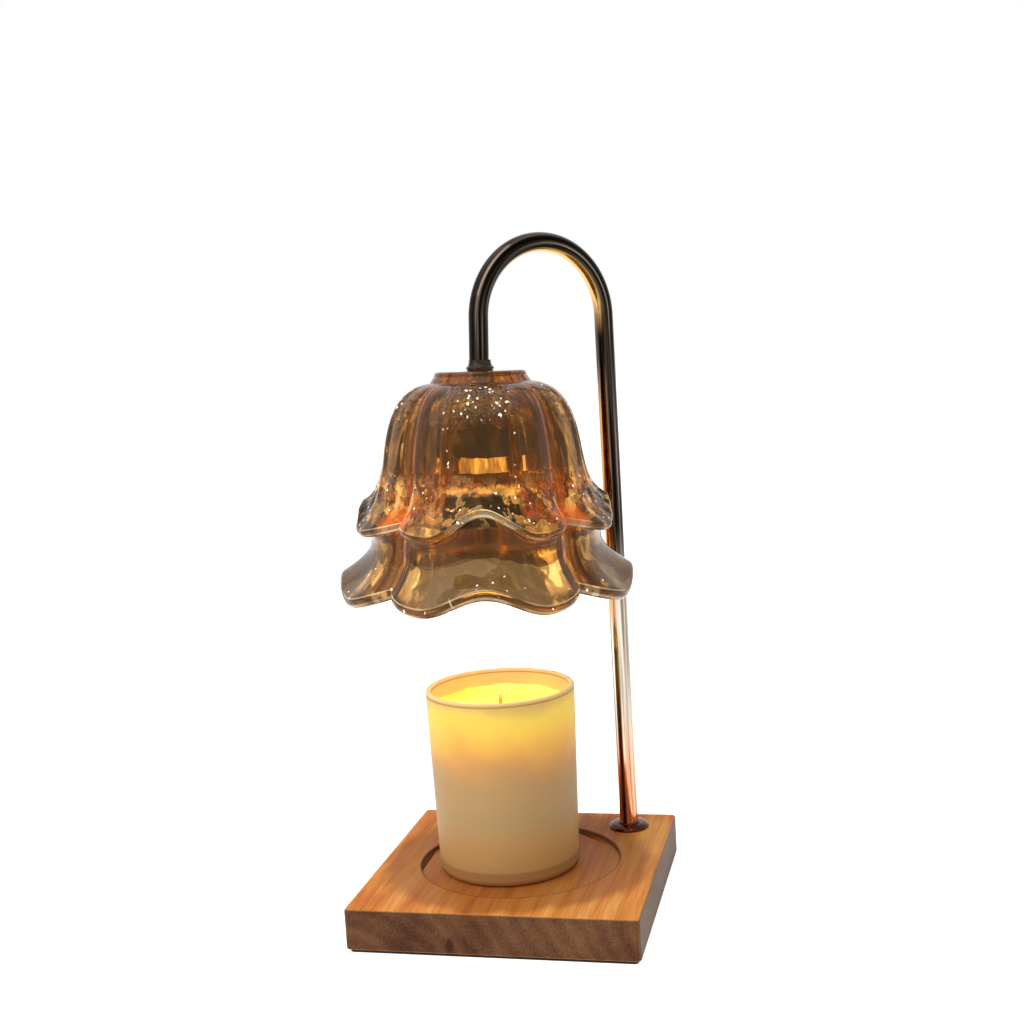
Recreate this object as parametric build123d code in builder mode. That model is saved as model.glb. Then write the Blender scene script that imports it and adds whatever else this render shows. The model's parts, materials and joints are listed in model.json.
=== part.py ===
"""Candle warmer lamp: a glass flower shade on a gooseneck over a jar candle on a wooden base.

Millimetres, +Z up. The origin is the centre of the base on the surface it stands on,
-Y is the front and the neck stands in the back right corner.
"""

import os
from math import cos, radians, sin, tan

from build123d import *

# ---------------------------------------------------------------- driving dimensions
fit_gap = 0.05  # radial clearance between pieces that are fixed to each other
turn_gap = 0.08  # radial clearance of a shaft that turns in its hole
free_gap = 0.3  # clearance between pieces that move past each other

# Wooden base and the pad under it
base_width = 140.0
base_depth = 140.0
base_thickness = 20.0
base_corner_radius = 2.0
base_edge_radius = 1.2
pad_thickness = 1.5
pad_inset = 1.5
recess_radius = 50.2
recess_depth = 2.2

# Wiring pocket in the underside of the base, and its cover
pocket_length = 55.0
pocket_width = 27.0
pocket_depth = 12.5
pocket_corner_radius = 3.0
pocket_wall_right = 9.0
pocket_wall_back = 7.0
counterbore_radius = 12.5
counterbore_extra_depth = 2.5
cover_thickness = 1.2
cover_end_ledge = 5.0
cover_side_ledge = 3.0
cover_gap = 0.2
cover_screw_radius = 1.25
cover_screw_head_radius = 2.3
cover_screw_length = 7.0
countersink_angle = 82.0

# Cord entry at the back face
cord_radius = 3.2
cord_entry_offset = 15.5
cord_entry_height = 6.9
grommet_wall = 1.2
grommet_flange = 0.9
grommet_flange_thickness = 1.5
clamp_width = 6.0
clamp_thickness = 1.2
clamp_lug_length = 4.6
clamp_distance = 7.0
clamp_screw_radius = 1.25
clamp_screw_head_radius = 2.0
clamp_screw_head_height = 1.2
clamp_screw_length = 4.0

# Terminal block in the pocket
block_length = 16.0
block_width = 12.6
block_height = 9.6
block_corner_radius = 1.0
block_pole_pitch = 7.0
block_screw_pitch = 9.0
block_tunnel_radius = 1.3
block_screw_radius = 1.5
block_screw_depth = 2.6
block_to_neck = 17.7
block_wall_gap = 0.9

# Neck tube, its fixing through the base, and the lead inside it
neck_inset_x = 22.3
neck_inset_y = 20.0
tube_radius = 4.75
tube_wall = 0.7
pole_height = 268.8
arch_radius = 37.2
arm_lean = 1.8
arm_length = 23.3
neck_heading = 226.0
tube_tail = 0.7
rosette_radius = 10.3
rosette_edge_height = 0.9
rosette_height = 3.2
rosette_collar_width = 1.1
pole_washer_radius = 10.0
pole_washer_thickness = 1.2
spring_washer_radius = 8.0
spring_washer_thickness = 1.5
spring_washer_split = 1.2
pole_nut_width = 17.0
pole_nut_height = 3.5
lead_radius = 1.8
lead_height = 4.9
lead_drop_bend = 3.0
lead_side_bend = 3.6

# Stack on the end of the arm: cap, washers, glass, nut, lamp holder
cap_height = 4.2
cap_radius = 6.8
cap_top_wall = 0.5
nipple_radius = 4.0
nipple_wall = 1.4
nipple_engagement = 6.0
top_washer_radius = 6.4
top_washer_thickness = 1.0
bottom_washer_radius = 10.0
bottom_washer_thickness = 1.0
shade_nut_radius = 9.0
shade_nut_height = 3.0
shade_nut_notches = 6
shade_nut_notch_radius = 1.0
holder_drop = 24.0
upper_nut_width = 10.0
upper_nut_height = 2.5
lower_nut_width = 12.0
lower_nut_height = 3.0
nipple_tail = 0.6
bridge_length = 21.0
bridge_width = 9.0
bridge_thickness = 0.9
bridge_rise = 1.8
bridge_flat = 12.2
cup_radius = 14.6
cup_wall = 0.7
cup_height = 17.0
cup_corner_radius = 1.6

# Ceramic socket, its screws and contacts
socket_top_space = 4.6
socket_inset = 0.6
socket_plate = 2.4
socket_chamber_radius = 9.0
socket_chamber_height = 6.0
socket_wire_hole_radius = 1.2
socket_screw_radius = 1.25
socket_screw_head_radius = 2.2
socket_screw_head_height = 1.0
socket_screw_length = 3.6
socket_screw_drop = 8.0
contact_width = 3.6
contact_thickness = 0.5
contact_length = 6.0

# Reflector bulb with a two-pin twist base
pin_circle_radius = 5.0
pin_radius = 1.5
pin_head_radius = 2.45
pin_head_height = 2.4
twist_angle = 25.0
bulb_neck_radius = 12.2
bulb_neck_height = 9.6
bulb_radius = 25.0
bulb_wall = 1.4
reflector_height = 35.0
reflector_band = 3.0
reflector_hole_radius = 5.4
lens_thickness = 2.2
lens_crown = 1.2
capsule_radius = 4.6
capsule_height = 20.0

# Glass shade: two tiers of heart-shaped petals, pressed in one piece
petal_count = 4
shade_heading = -77.0
glass_wall = 5.4
crown_thickness = 9.0
crown_radius = 17.0
collar_radius = 22.3
collar_foot_radius = 24.4
collar_height = 5.2
collar_edge = 2.2
bell_radius = 48.5
bell_depth = 38.0
bell_lean = 8.0
bell_crease_inset = 3.2
bell_notch_inset = 0.6
ruffle_radius = 62.3
ruffle_depth = 73.2
ruffle_thickness = 4.0
ruffle_notch_inset = 4.5
ruffle_notch_rise = 11.0
ruffle_crease_inset = 10.0
ruffle_crease_rise = 4.2
ruffle_splay = 42.0
ruffle_notch_splay = 30.0
waist_radius = 55.8
waist_depth = 79.5
waist_crease_inset = 2.6
waist_wall = 5.6
rim_radius = 69.4
rim_depth = 105.4
rim_thickness = 5.0
rim_notch_inset = 0.6
rim_notch_rise = 8.0
rim_crease_inset = 11.0
rim_crease_rise = 6.2
rim_splay = 44.0
rim_notch_splay = 32.0
rise_sharpness = 1.5  # how suddenly a petal's edge rises towards its crease
tuck_sharpness = 2.6  # how suddenly it turns in there
lobe_share = 0.54  # where a lobe hangs lowest, as a share of the way from notch to crease
sections_to_lobe = 3
sections_to_crease = 3

# Jar candle
candle_x = -5.5
candle_y = 0.3
jar_height = 91.7
jar_bottom_radius = 34.9
jar_top_radius = 37.1
jar_wall = 2.6
jar_floor = 8.0
jar_heel_radius = 4.0
jar_inner_heel_radius = 3.0
jar_rim_radius = 1.1
wax_below_rim = 9.5
wick_radius = 0.9
wick_proud = 5.0
tab_radius = 8.0
tab_thickness = 0.6
tab_neck_radius = 1.8
tab_neck_height = 4.0

# ---------------------------------------------------------------- places worked out
board_bottom = pad_thickness
board_top = board_bottom + base_thickness
pocket_x = base_width / 2 - pocket_wall_right - pocket_length / 2
pocket_back = base_depth / 2 - pocket_wall_back
pocket_y = pocket_back - pocket_width / 2
pocket_roof = board_bottom + pocket_depth
counterbore_roof = pocket_roof + counterbore_extra_depth
cover_top = board_bottom + cover_thickness
cover_screw_x = pocket_length / 2 + cover_end_ledge / 2
cord_entry_x = pocket_x - cord_entry_offset

neck_x = base_width / 2 - neck_inset_x
neck_y = base_depth / 2 - neck_inset_y
block_end_x = neck_x - block_to_neck
block_y = pocket_y - pocket_width / 2 + block_wall_gap + block_width / 2
pole_washer_bottom = counterbore_roof - pole_washer_thickness
spring_washer_bottom = pole_washer_bottom - spring_washer_thickness
pole_nut_bottom = spring_washer_bottom - pole_nut_height
tube_foot = pole_nut_bottom - tube_tail
arch_level = board_top + pole_height

# Levels in the head frame, counted up the arm from its end
glass_top = -top_washer_thickness
glass_under = glass_top - crown_thickness
bottom_washer_level = glass_under - bottom_washer_thickness
shade_nut_level = bottom_washer_level - shade_nut_height
cup_top = glass_top - holder_drop
cup_under = cup_top - cup_wall
lower_nut_level = cup_under - lower_nut_height
nipple_level = lower_nut_level - nipple_tail
socket_top = cup_top - socket_top_space
socket_bottom = cup_top - cup_height + socket_inset
chamber_floor = socket_bottom + socket_plate
chamber_roof = chamber_floor + socket_chamber_height
bulb_top = socket_bottom - free_gap
pin_head_level = chamber_floor + free_gap
contact_level = pin_head_level + pin_head_height + free_gap
bulb_neck_level = bulb_top - bulb_neck_height
reflector_level = bulb_neck_level - reflector_height

recess_floor = board_top - recess_depth

os.makedirs("parts", exist_ok=True)


def keep(builder, name):
    """Label a finished piece and write it to its own file."""
    builder.part.label = name
    export_step(builder.part, f"parts/{name}.step")


def side_of(plane):
    """The upright plane through another plane's x and z, with that z as its own y."""
    return Plane(origin=plane.origin, x_dir=plane.x_dir, z_dir=plane.x_dir.cross(plane.z_dir))


def axis_of(plane):
    """The z axis of a plane."""
    return Axis(plane.origin, plane.z_dir)


def ring(plane, outer_radius, inner_radius, height):
    """A flat ring that stands on a plane."""
    with BuildPart() as body:
        with BuildSketch(plane):
            Circle(outer_radius)
            Circle(inner_radius, mode=Mode.SUBTRACT)
        extrude(amount=height)
    return body


def hex_nut(plane, width, bore_radius, height, corner_chamfer=0.6):
    """A hexagon nut that stands on a plane, with its upper corners turned off."""
    with BuildPart() as body:
        with BuildSketch(plane):
            RegularPolygon(width / 2, 6, major_radius=False)
            Circle(bore_radius, mode=Mode.SUBTRACT)
        extrude(amount=height)
        upper_face = body.faces().sort_by(axis_of(plane))[-1]
        chamfer(upper_face.outer_wire().edges(), corner_chamfer)
    return body


def pan_screw(radius, length, head_radius, head_height):
    """A screw with a low round head that sits on the XY plane, with its shank below it."""
    with BuildPart() as body:
        with BuildSketch(Plane.XZ):
            with BuildLine():
                Polyline((0, head_height), (0, -length), (radius, -length), (radius, 0), (head_radius, 0))
                Line((head_radius, 0), (head_radius, head_height / 3))
                Bezier((head_radius, head_height / 3), (head_radius * 0.8, head_height), (0, head_height))
            make_face()
        revolve(axis=Axis.Z)
    return body


def countersunk_screw(radius, length, head_radius, cone_angle):
    """A screw whose flat head lies in the XY plane, with its cone and shank below it."""
    cone_depth = (head_radius - radius) / tan(radians(cone_angle / 2))
    with BuildPart() as body:
        with BuildSketch(Plane.XZ):
            with BuildLine():
                Polyline((0, 0), (head_radius, 0), (radius, -cone_depth), (radius, -length), (0, -length), close=True)
            make_face()
        revolve(axis=Axis.Z)
    return body


# ---------------------------------------------------------------- wooden base
pole_plane = Plane(origin=(neck_x, neck_y, 0))
candle_plane = Plane(origin=(candle_x, candle_y, recess_floor))
entry_plane = Plane(
    origin=(cord_entry_x, base_depth / 2, board_bottom + cord_entry_height), x_dir=(1, 0, 0), z_dir=(0, 1, 0)
)
clamp_y = pocket_back - clamp_distance
clamp_screw_x = cord_radius + clamp_thickness + clamp_lug_length / 2
block_x = block_end_x - block_length / 2
under_cover = Plane(origin=(pocket_x, pocket_y, board_bottom), x_dir=(1, 0, 0), z_dir=(0, 0, -1))
under_lugs = Plane(
    origin=(cord_entry_x, clamp_y, pocket_roof - clamp_thickness), x_dir=(1, 0, 0), z_dir=(0, 0, -1)
)
under_block = Plane(origin=(block_x, block_y, pocket_roof - block_height), x_dir=(1, 0, 0), z_dir=(0, 0, -1))
block_fixing_length = block_height + clamp_screw_length - clamp_thickness

with BuildPart() as base_board:
    with BuildSketch(Plane.XY.offset(board_bottom)):
        RectangleRounded(base_width, base_depth, base_corner_radius)
    extrude(amount=base_thickness)
    fillet(base_board.faces().sort_by(Axis.Z)[-1].edges(), base_edge_radius)
    chamfer(base_board.faces().sort_by(Axis.Z)[0].edges(), base_edge_radius / 2)
    # Round recess that keeps the candle under the shade
    with BuildSketch(Plane.XY.offset(board_top)):
        Circle(recess_radius)
    extrude(amount=-recess_depth, mode=Mode.SUBTRACT)
    # Wiring pocket, the deeper seat of the neck's nut, and the rebate for the cover
    with BuildSketch(Plane.XY.offset(board_bottom)):
        with Locations((pocket_x, pocket_y)):
            RectangleRounded(pocket_length, pocket_width, pocket_corner_radius)
    extrude(amount=pocket_depth, mode=Mode.SUBTRACT)
    with BuildSketch(Plane.XY.offset(board_bottom)):
        with Locations((neck_x, neck_y)):
            Circle(counterbore_radius)
    extrude(amount=pocket_depth + counterbore_extra_depth, mode=Mode.SUBTRACT)
    with BuildSketch(Plane.XY.offset(board_bottom)):
        with Locations((pocket_x, pocket_y)):
            RectangleRounded(
                pocket_length + 2 * cover_end_ledge, pocket_width + 2 * cover_side_ledge, pocket_corner_radius
            )
    extrude(amount=cover_thickness, mode=Mode.SUBTRACT)
    # Hole that the neck turns in, and the cord hole through the back wall
    with Locations((neck_x, neck_y, board_top)):
        Hole(tube_radius + turn_gap, depth=base_thickness)
    with Locations(entry_plane):
        Hole(cord_radius + grommet_wall + fit_gap, depth=pocket_wall_back + pocket_corner_radius)
    # Pilot holes of the screws
    with Locations(under_cover):
        with GridLocations(2 * cover_screw_x, 0, 2, 1):
            Hole(cover_screw_radius + fit_gap, depth=cover_screw_length)
    with Locations(under_lugs):
        with GridLocations(2 * clamp_screw_x, 0, 2, 1):
            Hole(clamp_screw_radius + fit_gap, depth=clamp_screw_length)
    with Locations(under_block):
        Hole(clamp_screw_radius + fit_gap, depth=block_fixing_length)
keep(base_board, "base_board")

with BuildPart() as base_pad:
    with BuildSketch():
        RectangleRounded(base_width - 2 * pad_inset, base_depth - 2 * pad_inset, base_corner_radius)
    extrude(amount=pad_thickness)
keep(base_pad, "base_pad")

with BuildPart() as base_cover:
    with BuildSketch(Plane.XY.offset(board_bottom)):
        with Locations((pocket_x, pocket_y)):
            RectangleRounded(
                pocket_length + 2 * (cover_end_ledge - cover_gap),
                pocket_width + 2 * (cover_side_ledge - cover_gap),
                pocket_corner_radius,
            )
    extrude(amount=cover_thickness)
    with Locations(under_cover):
        with GridLocations(2 * cover_screw_x, 0, 2, 1):
            CounterSinkHole(
                cover_screw_radius + fit_gap,
                cover_screw_head_radius + fit_gap,
                depth=cover_thickness,
                counter_sink_angle=countersink_angle,
            )
keep(base_cover, "base_cover")

cover_screw = countersunk_screw(
    cover_screw_radius, cover_screw_length, cover_screw_head_radius, countersink_angle
)
with BuildPart(under_cover) as cover_screws:
    with GridLocations(2 * cover_screw_x, 0, 2, 1):
        add(cover_screw.part)
keep(cover_screws, "cover_screws")

# ---------------------------------------------------------------- cord entry and wiring in the base
grommet_radius = cord_radius + grommet_wall
grommet_lip = pocket_wall_back + clamp_thickness
with BuildPart() as cord_grommet:
    with BuildSketch(side_of(entry_plane)):
        with BuildLine():
            Polyline(
                (cord_radius, -grommet_lip),
                (grommet_radius + grommet_flange / 2, -grommet_lip),
                (grommet_radius + grommet_flange / 2, -pocket_wall_back),
                (grommet_radius, -pocket_wall_back),
                (grommet_radius, 0),
                (grommet_radius + grommet_flange, 0),
                (grommet_radius + grommet_flange, grommet_flange_thickness),
                (cord_radius, grommet_flange_thickness),
                close=True,
            )
        make_face()
    revolve(axis=axis_of(entry_plane))
    outer_face = cord_grommet.faces().sort_by(Axis.Y)[-1]
    fillet(outer_face.outer_wire().edges(), grommet_flange / 2)
keep(cord_grommet, "cord_grommet")

clamp_face = Plane(origin=(cord_entry_x, clamp_y, entry_plane.origin.Z), x_dir=(1, 0, 0), z_dir=(0, -1, 0))
clamp_reach = pocket_roof - entry_plane.origin.Z
with BuildPart() as cord_clamp:
    with BuildSketch(clamp_face):
        Circle(cord_radius + clamp_thickness)
        Rectangle(2 * (cord_radius + clamp_thickness), clamp_reach, align=(Align.CENTER, Align.MIN))
        with Locations((0, clamp_reach)):
            Rectangle(
                2 * (cord_radius + clamp_thickness + clamp_lug_length),
                clamp_thickness,
                align=(Align.CENTER, Align.MAX),
            )
        Circle(cord_radius, mode=Mode.SUBTRACT)
        Rectangle(2 * cord_radius, clamp_reach, align=(Align.CENTER, Align.MIN), mode=Mode.SUBTRACT)
    extrude(amount=clamp_width / 2, both=True)
    with Locations(under_lugs):
        with GridLocations(2 * clamp_screw_x, 0, 2, 1):
            Hole(clamp_screw_radius + fit_gap, depth=clamp_thickness)
keep(cord_clamp, "cord_clamp")

clamp_screw = pan_screw(
    clamp_screw_radius, clamp_screw_length, clamp_screw_head_radius, clamp_screw_head_height
)
with BuildPart(under_lugs) as clamp_screws:
    with GridLocations(2 * clamp_screw_x, 0, 2, 1):
        add(clamp_screw.part)
keep(clamp_screws, "clamp_screws")

with BuildPart() as terminal_block:
    with BuildSketch(under_block):
        RectangleRounded(block_length, block_width, block_corner_radius)
    extrude(amount=-block_height)
    with Locations(under_block):
        with GridLocations(block_screw_pitch, block_pole_pitch, 2, 2):
            Hole(block_screw_radius + fit_gap, depth=block_screw_depth)
        CounterBoreHole(
            clamp_screw_radius + fit_gap,
            clamp_screw_head_radius + fit_gap,
            clamp_screw_head_height + fit_gap,
            depth=block_height,
        )
    # One wire tunnel for each pole, right through the block
    tunnel_face = Plane(
        origin=(block_end_x, block_y, pocket_roof - block_height / 2), x_dir=(0, 1, 0), z_dir=(1, 0, 0)
    )
    with Locations(tunnel_face):
        with GridLocations(block_pole_pitch, 0, 2, 1):
            Hole(block_tunnel_radius, depth=block_length)
keep(terminal_block, "terminal_block")

with BuildPart(under_block) as terminal_screws:
    with GridLocations(block_screw_pitch, block_pole_pitch, 2, 2):
        Cylinder(block_screw_radius, block_screw_depth, align=(Align.CENTER, Align.CENTER, Align.MAX))
keep(terminal_screws, "terminal_screws")

block_screw = pan_screw(
    clamp_screw_radius,
    block_fixing_length - clamp_screw_head_height - fit_gap,
    clamp_screw_head_radius,
    clamp_screw_head_height,
)
with BuildPart(under_block.offset(-clamp_screw_head_height - fit_gap)) as block_fixing_screw:
    add(block_screw.part)
keep(block_fixing_screw, "block_fixing_screw")

lead_level = board_bottom + lead_height
with BuildPart() as base_lead:
    with BuildLine() as base_lead_path:
        FilletPolyline(
            (neck_x, neck_y, tube_foot),
            (neck_x, neck_y, lead_level),
            (neck_x, block_y, lead_level),
            (block_end_x, block_y, lead_level),
            radius=[lead_drop_bend, lead_side_bend],
        )
    with BuildSketch(Plane(origin=(neck_x, neck_y, tube_foot))):
        Circle(lead_radius)
    sweep(path=base_lead_path.wire())
keep(base_lead, "base_lead")

# ---------------------------------------------------------------- neck
# The arch lies in an upright plane through the pole: its x runs outwards, its y runs up.
outwards = Vector(cos(radians(neck_heading)), sin(radians(neck_heading)), 0)
neck_plane = Plane(origin=(neck_x, neck_y, 0), x_dir=outwards, z_dir=outwards.cross(Vector(0, 0, 1)))


def neck_route(arm):
    """The line up the pole, over the arch and down the arm, for a given length of arm."""
    with BuildLine(neck_plane) as route:
        Line((0, tube_foot), (0, arch_level))
        CenterArc((arch_radius, arch_level), arch_radius, 180, arm_lean - 180)
        arch_end = (arch_radius * (1 + cos(radians(arm_lean))), arch_level + arch_radius * sin(radians(arm_lean)))
        PolarLine(arch_end, arm, arm_lean - 90)
    return route.wire()


tube_path = neck_route(arm_length)
arm_end = tube_path @ 1
arm_down = tube_path % 1

# The head frame sits on the end of the arm, with its z up the arm.
head = Plane(origin=arm_end, x_dir=neck_plane.z_dir, z_dir=arm_down * -1)

with BuildPart() as neck_tube:
    with BuildSketch(pole_plane.offset(tube_foot)):
        Circle(tube_radius)
        Circle(tube_radius - tube_wall, mode=Mode.SUBTRACT)
    sweep(path=tube_path)
keep(neck_tube, "neck_tube")

# The lead fills the middle of the tube and goes on through the nipple to the socket.
with BuildPart() as neck_lead:
    with BuildSketch(pole_plane.offset(tube_foot)):
        Circle(lead_radius)
    sweep(path=neck_route(arm_length - socket_top))
keep(neck_lead, "neck_lead")

rosette_foot = pole_plane.offset(board_top)
rosette_bore = tube_radius + fit_gap
rosette_collar_radius = rosette_bore + rosette_collar_width
rosette_shoulder = rosette_height - rosette_collar_width / 2
with BuildPart() as pole_rosette:
    with BuildSketch(side_of(rosette_foot)):
        with BuildLine():
            Polyline((rosette_bore, 0), (rosette_radius, 0), (rosette_radius, rosette_edge_height))
            Bezier(
                (rosette_radius, rosette_edge_height),
                (rosette_radius * 0.9, rosette_shoulder),
                (rosette_collar_radius, rosette_shoulder),
            )
            Polyline(
                (rosette_collar_radius, rosette_shoulder),
                (rosette_collar_radius, rosette_height),
                (rosette_bore, rosette_height),
                (rosette_bore, 0),
            )
        make_face()
    revolve(axis=axis_of(pole_plane))
keep(pole_rosette, "pole_rosette")

fixed_bore = tube_radius + fit_gap
pole_washer = ring(
    pole_plane.offset(pole_washer_bottom), pole_washer_radius, fixed_bore, pole_washer_thickness
)
keep(pole_washer, "pole_washer")

with BuildPart() as pole_spring_washer:
    with BuildSketch(pole_plane.offset(spring_washer_bottom)):
        Circle(spring_washer_radius)
        Circle(fixed_bore, mode=Mode.SUBTRACT)
        Rectangle(
            spring_washer_radius, spring_washer_split, align=(Align.MIN, Align.CENTER), mode=Mode.SUBTRACT
        )
    extrude(amount=spring_washer_thickness)
keep(pole_spring_washer, "pole_spring_washer")

pole_nut = hex_nut(pole_plane.offset(pole_nut_bottom), pole_nut_width, fixed_bore, pole_nut_height)
keep(pole_nut, "pole_nut")

# ---------------------------------------------------------------- stack on the end of the arm
head_axis = axis_of(head)
cap_bore = tube_radius + fit_gap
with BuildPart() as neck_cap:
    with BuildSketch(side_of(head)):
        with BuildLine():
            Polyline((cap_bore, 0), (cap_radius, 0), (cap_radius, cap_height / 6))
            Bezier(
                (cap_radius, cap_height / 6),
                (cap_bore + cap_top_wall, cap_height / 3),
                (cap_bore + cap_top_wall, cap_height),
            )
            Polyline((cap_bore + cap_top_wall, cap_height), (cap_bore, cap_height), (cap_bore, 0))
        make_face()
    revolve(axis=head_axis)
keep(neck_cap, "neck_cap")

shade_nipple = ring(
    head.offset(nipple_level), nipple_radius, nipple_radius - nipple_wall, nipple_engagement - nipple_level
)
keep(shade_nipple, "shade_nipple")

nipple_bore = nipple_radius + fit_gap
shade_washer_top = ring(head.offset(glass_top), top_washer_radius, nipple_bore, top_washer_thickness)
keep(shade_washer_top, "shade_washer_top")

shade_washer_bottom = ring(
    head.offset(bottom_washer_level), bottom_washer_radius, nipple_bore, bottom_washer_thickness
)
keep(shade_washer_bottom, "shade_washer_bottom")

with BuildPart() as shade_nut:
    with BuildSketch(head.offset(shade_nut_level)):
        Circle(shade_nut_radius)
        Circle(nipple_bore, mode=Mode.SUBTRACT)
        with PolarLocations(shade_nut_radius, shade_nut_notches):
            Circle(shade_nut_notch_radius, mode=Mode.SUBTRACT)
    extrude(amount=shade_nut_height)
keep(shade_nut, "shade_nut")

# ---------------------------------------------------------------- lamp holder
bridge_level = cup_top + bridge_thickness / 2
wing_middle = (bridge_flat + bridge_length) / 4
with BuildPart() as holder_bridge:
    with BuildSketch(side_of(head.offset(bridge_level))):
        with BuildLine():
            ThreePointArc((-bridge_length / 2, 0), (-wing_middle, bridge_rise), (-bridge_flat / 2, 0))
            Line((-bridge_flat / 2, 0), (bridge_flat / 2, 0))
            ThreePointArc((bridge_flat / 2, 0), (wing_middle, bridge_rise), (bridge_length / 2, 0))
            offset(amount=bridge_thickness / 2)
        make_face()
    extrude(amount=bridge_width / 2, both=True)
    with BuildSketch(head.offset(cup_top)):
        Circle(nipple_bore)
    extrude(amount=bridge_rise + bridge_thickness, mode=Mode.SUBTRACT)
keep(holder_bridge, "holder_bridge")

holder_nut_upper = hex_nut(
    head.offset(cup_top + bridge_thickness), upper_nut_width, nipple_bore, upper_nut_height
)
keep(holder_nut_upper, "holder_nut_upper")
holder_nut_lower = hex_nut(head.offset(lower_nut_level), lower_nut_width, nipple_bore, lower_nut_height)
keep(holder_nut_lower, "holder_nut_lower")

# Screws go in from the side of the cup, half way down the socket's wall
screw_level = cup_top - socket_screw_drop
cup_inner_radius = cup_radius - cup_wall
socket_radius = cup_inner_radius - fit_gap
cup_sides = [
    Plane(
        origin=head.offset(screw_level).origin + head.y_dir * (side * cup_radius),
        x_dir=head.x_dir,
        z_dir=head.y_dir * side,
    )
    for side in (-1, 1)
]

with BuildPart() as holder_cup:
    with BuildSketch(head.offset(cup_top - cup_height)):
        Circle(cup_radius)
    extrude(amount=cup_height)
    fillet(holder_cup.edges().sort_by(head_axis)[-1], cup_corner_radius)
    with BuildSketch(head.offset(cup_top - cup_height)):
        Circle(cup_inner_radius)
    extrude(amount=cup_height - cup_wall - cup_corner_radius, mode=Mode.SUBTRACT)
    with BuildSketch(head.offset(cup_under - cup_corner_radius)):
        Circle(cup_inner_radius - cup_corner_radius)
    extrude(amount=cup_corner_radius, mode=Mode.SUBTRACT)
    with Locations(head.offset(cup_top)):
        Hole(nipple_bore, depth=cup_height)
    for cup_side in cup_sides:
        with Locations(cup_side):
            Hole(socket_screw_radius + fit_gap, depth=2 * cup_wall)
keep(holder_cup, "holder_cup")

with BuildPart() as socket_ceramic:
    with BuildSketch(head.offset(socket_bottom)):
        Circle(socket_radius)
    extrude(amount=socket_top - socket_bottom)
    with BuildSketch(head.offset(chamber_floor)):
        Circle(socket_chamber_radius)
    extrude(amount=socket_chamber_height, mode=Mode.SUBTRACT)
    with Locations(head.offset(socket_top)):
        Hole(socket_wire_hole_radius, depth=socket_top - chamber_roof)
    # Each pin has a curved slot that ends in a hole wide enough for the pin's head
    with BuildSketch(head.offset(socket_bottom)):
        for pin_side in (0, 180):
            with BuildLine() as slot_line:
                CenterArc((0, 0), pin_circle_radius, pin_side, twist_angle)
            SlotArc(slot_line.edges()[0], 2 * (pin_radius + free_gap))
            with PolarLocations(pin_circle_radius, 1, start_angle=pin_side + twist_angle):
                Circle(pin_head_radius + free_gap)
    extrude(amount=socket_plate, mode=Mode.SUBTRACT)
    for cup_side in cup_sides:
        with Locations(cup_side):
            Hole(socket_screw_radius + fit_gap, depth=socket_screw_length)
keep(socket_ceramic, "socket_ceramic")

socket_screw = pan_screw(
    socket_screw_radius, socket_screw_length, socket_screw_head_radius, socket_screw_head_height
)
with BuildPart(*cup_sides) as socket_screws:
    add(socket_screw.part)
keep(socket_screws, "socket_screws")

contact_height = chamber_roof - contact_level
with BuildPart() as socket_contacts:
    with BuildSketch(side_of(head.offset(contact_level))):
        for side in (-1, 1):
            with Locations((side * pin_circle_radius, contact_height / 2)):
                Rectangle(contact_length, contact_height)
            with Locations((side * (pin_circle_radius + contact_thickness), contact_height / 2)):
                Rectangle(contact_length, contact_height - 2 * contact_thickness, mode=Mode.SUBTRACT)
    extrude(amount=contact_width / 2, both=True)
keep(socket_contacts, "socket_contacts")

# ---------------------------------------------------------------- bulb
with BuildPart() as bulb_base:
    with BuildSketch(head.offset(bulb_neck_level)):
        Circle(bulb_neck_radius)
    extrude(amount=bulb_neck_height)
    fillet(bulb_base.edges().sort_by(head_axis)[-1], fit_gap * 10)
keep(bulb_base, "bulb_base")

with BuildPart() as bulb_pins:
    with BuildSketch(head.offset(bulb_top)):
        with PolarLocations(pin_circle_radius, 2):
            Circle(pin_radius)
    extrude(amount=pin_head_level - bulb_top)
    with BuildSketch(head.offset(pin_head_level)):
        with PolarLocations(pin_circle_radius, 2):
            Circle(pin_head_radius)
    extrude(amount=pin_head_height)
keep(bulb_pins, "bulb_pins")

band_level = reflector_level + reflector_band
flare_height = bulb_neck_level - band_level
inner_radius = bulb_radius - bulb_wall
inner_neck_radius = bulb_neck_radius - bulb_wall
with BuildPart() as bulb_reflector:
    with BuildSketch(side_of(head)):
        with BuildLine():
            Bezier(
                (bulb_neck_radius, bulb_neck_level),
                (bulb_neck_radius * 1.1, bulb_neck_level - flare_height * 0.3),
                (bulb_radius * 0.98, bulb_neck_level - flare_height * 0.5),
                (bulb_radius, band_level),
            )
            Polyline(
                (bulb_radius, band_level),
                (bulb_radius, reflector_level),
                (inner_radius, reflector_level),
                (inner_radius, band_level),
            )
            Bezier(
                (inner_radius, band_level),
                (inner_radius * 0.97, bulb_neck_level - flare_height * 0.52),
                (inner_neck_radius * 1.12, bulb_neck_level - flare_height * 0.34),
                (inner_neck_radius, bulb_neck_level - bulb_wall),
            )
            Polyline(
                (inner_neck_radius, bulb_neck_level - bulb_wall),
                (reflector_hole_radius, bulb_neck_level - bulb_wall),
                (reflector_hole_radius, bulb_neck_level),
                (bulb_neck_radius, bulb_neck_level),
            )
        make_face()
    revolve(axis=head_axis)
keep(bulb_reflector, "bulb_reflector")

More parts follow.
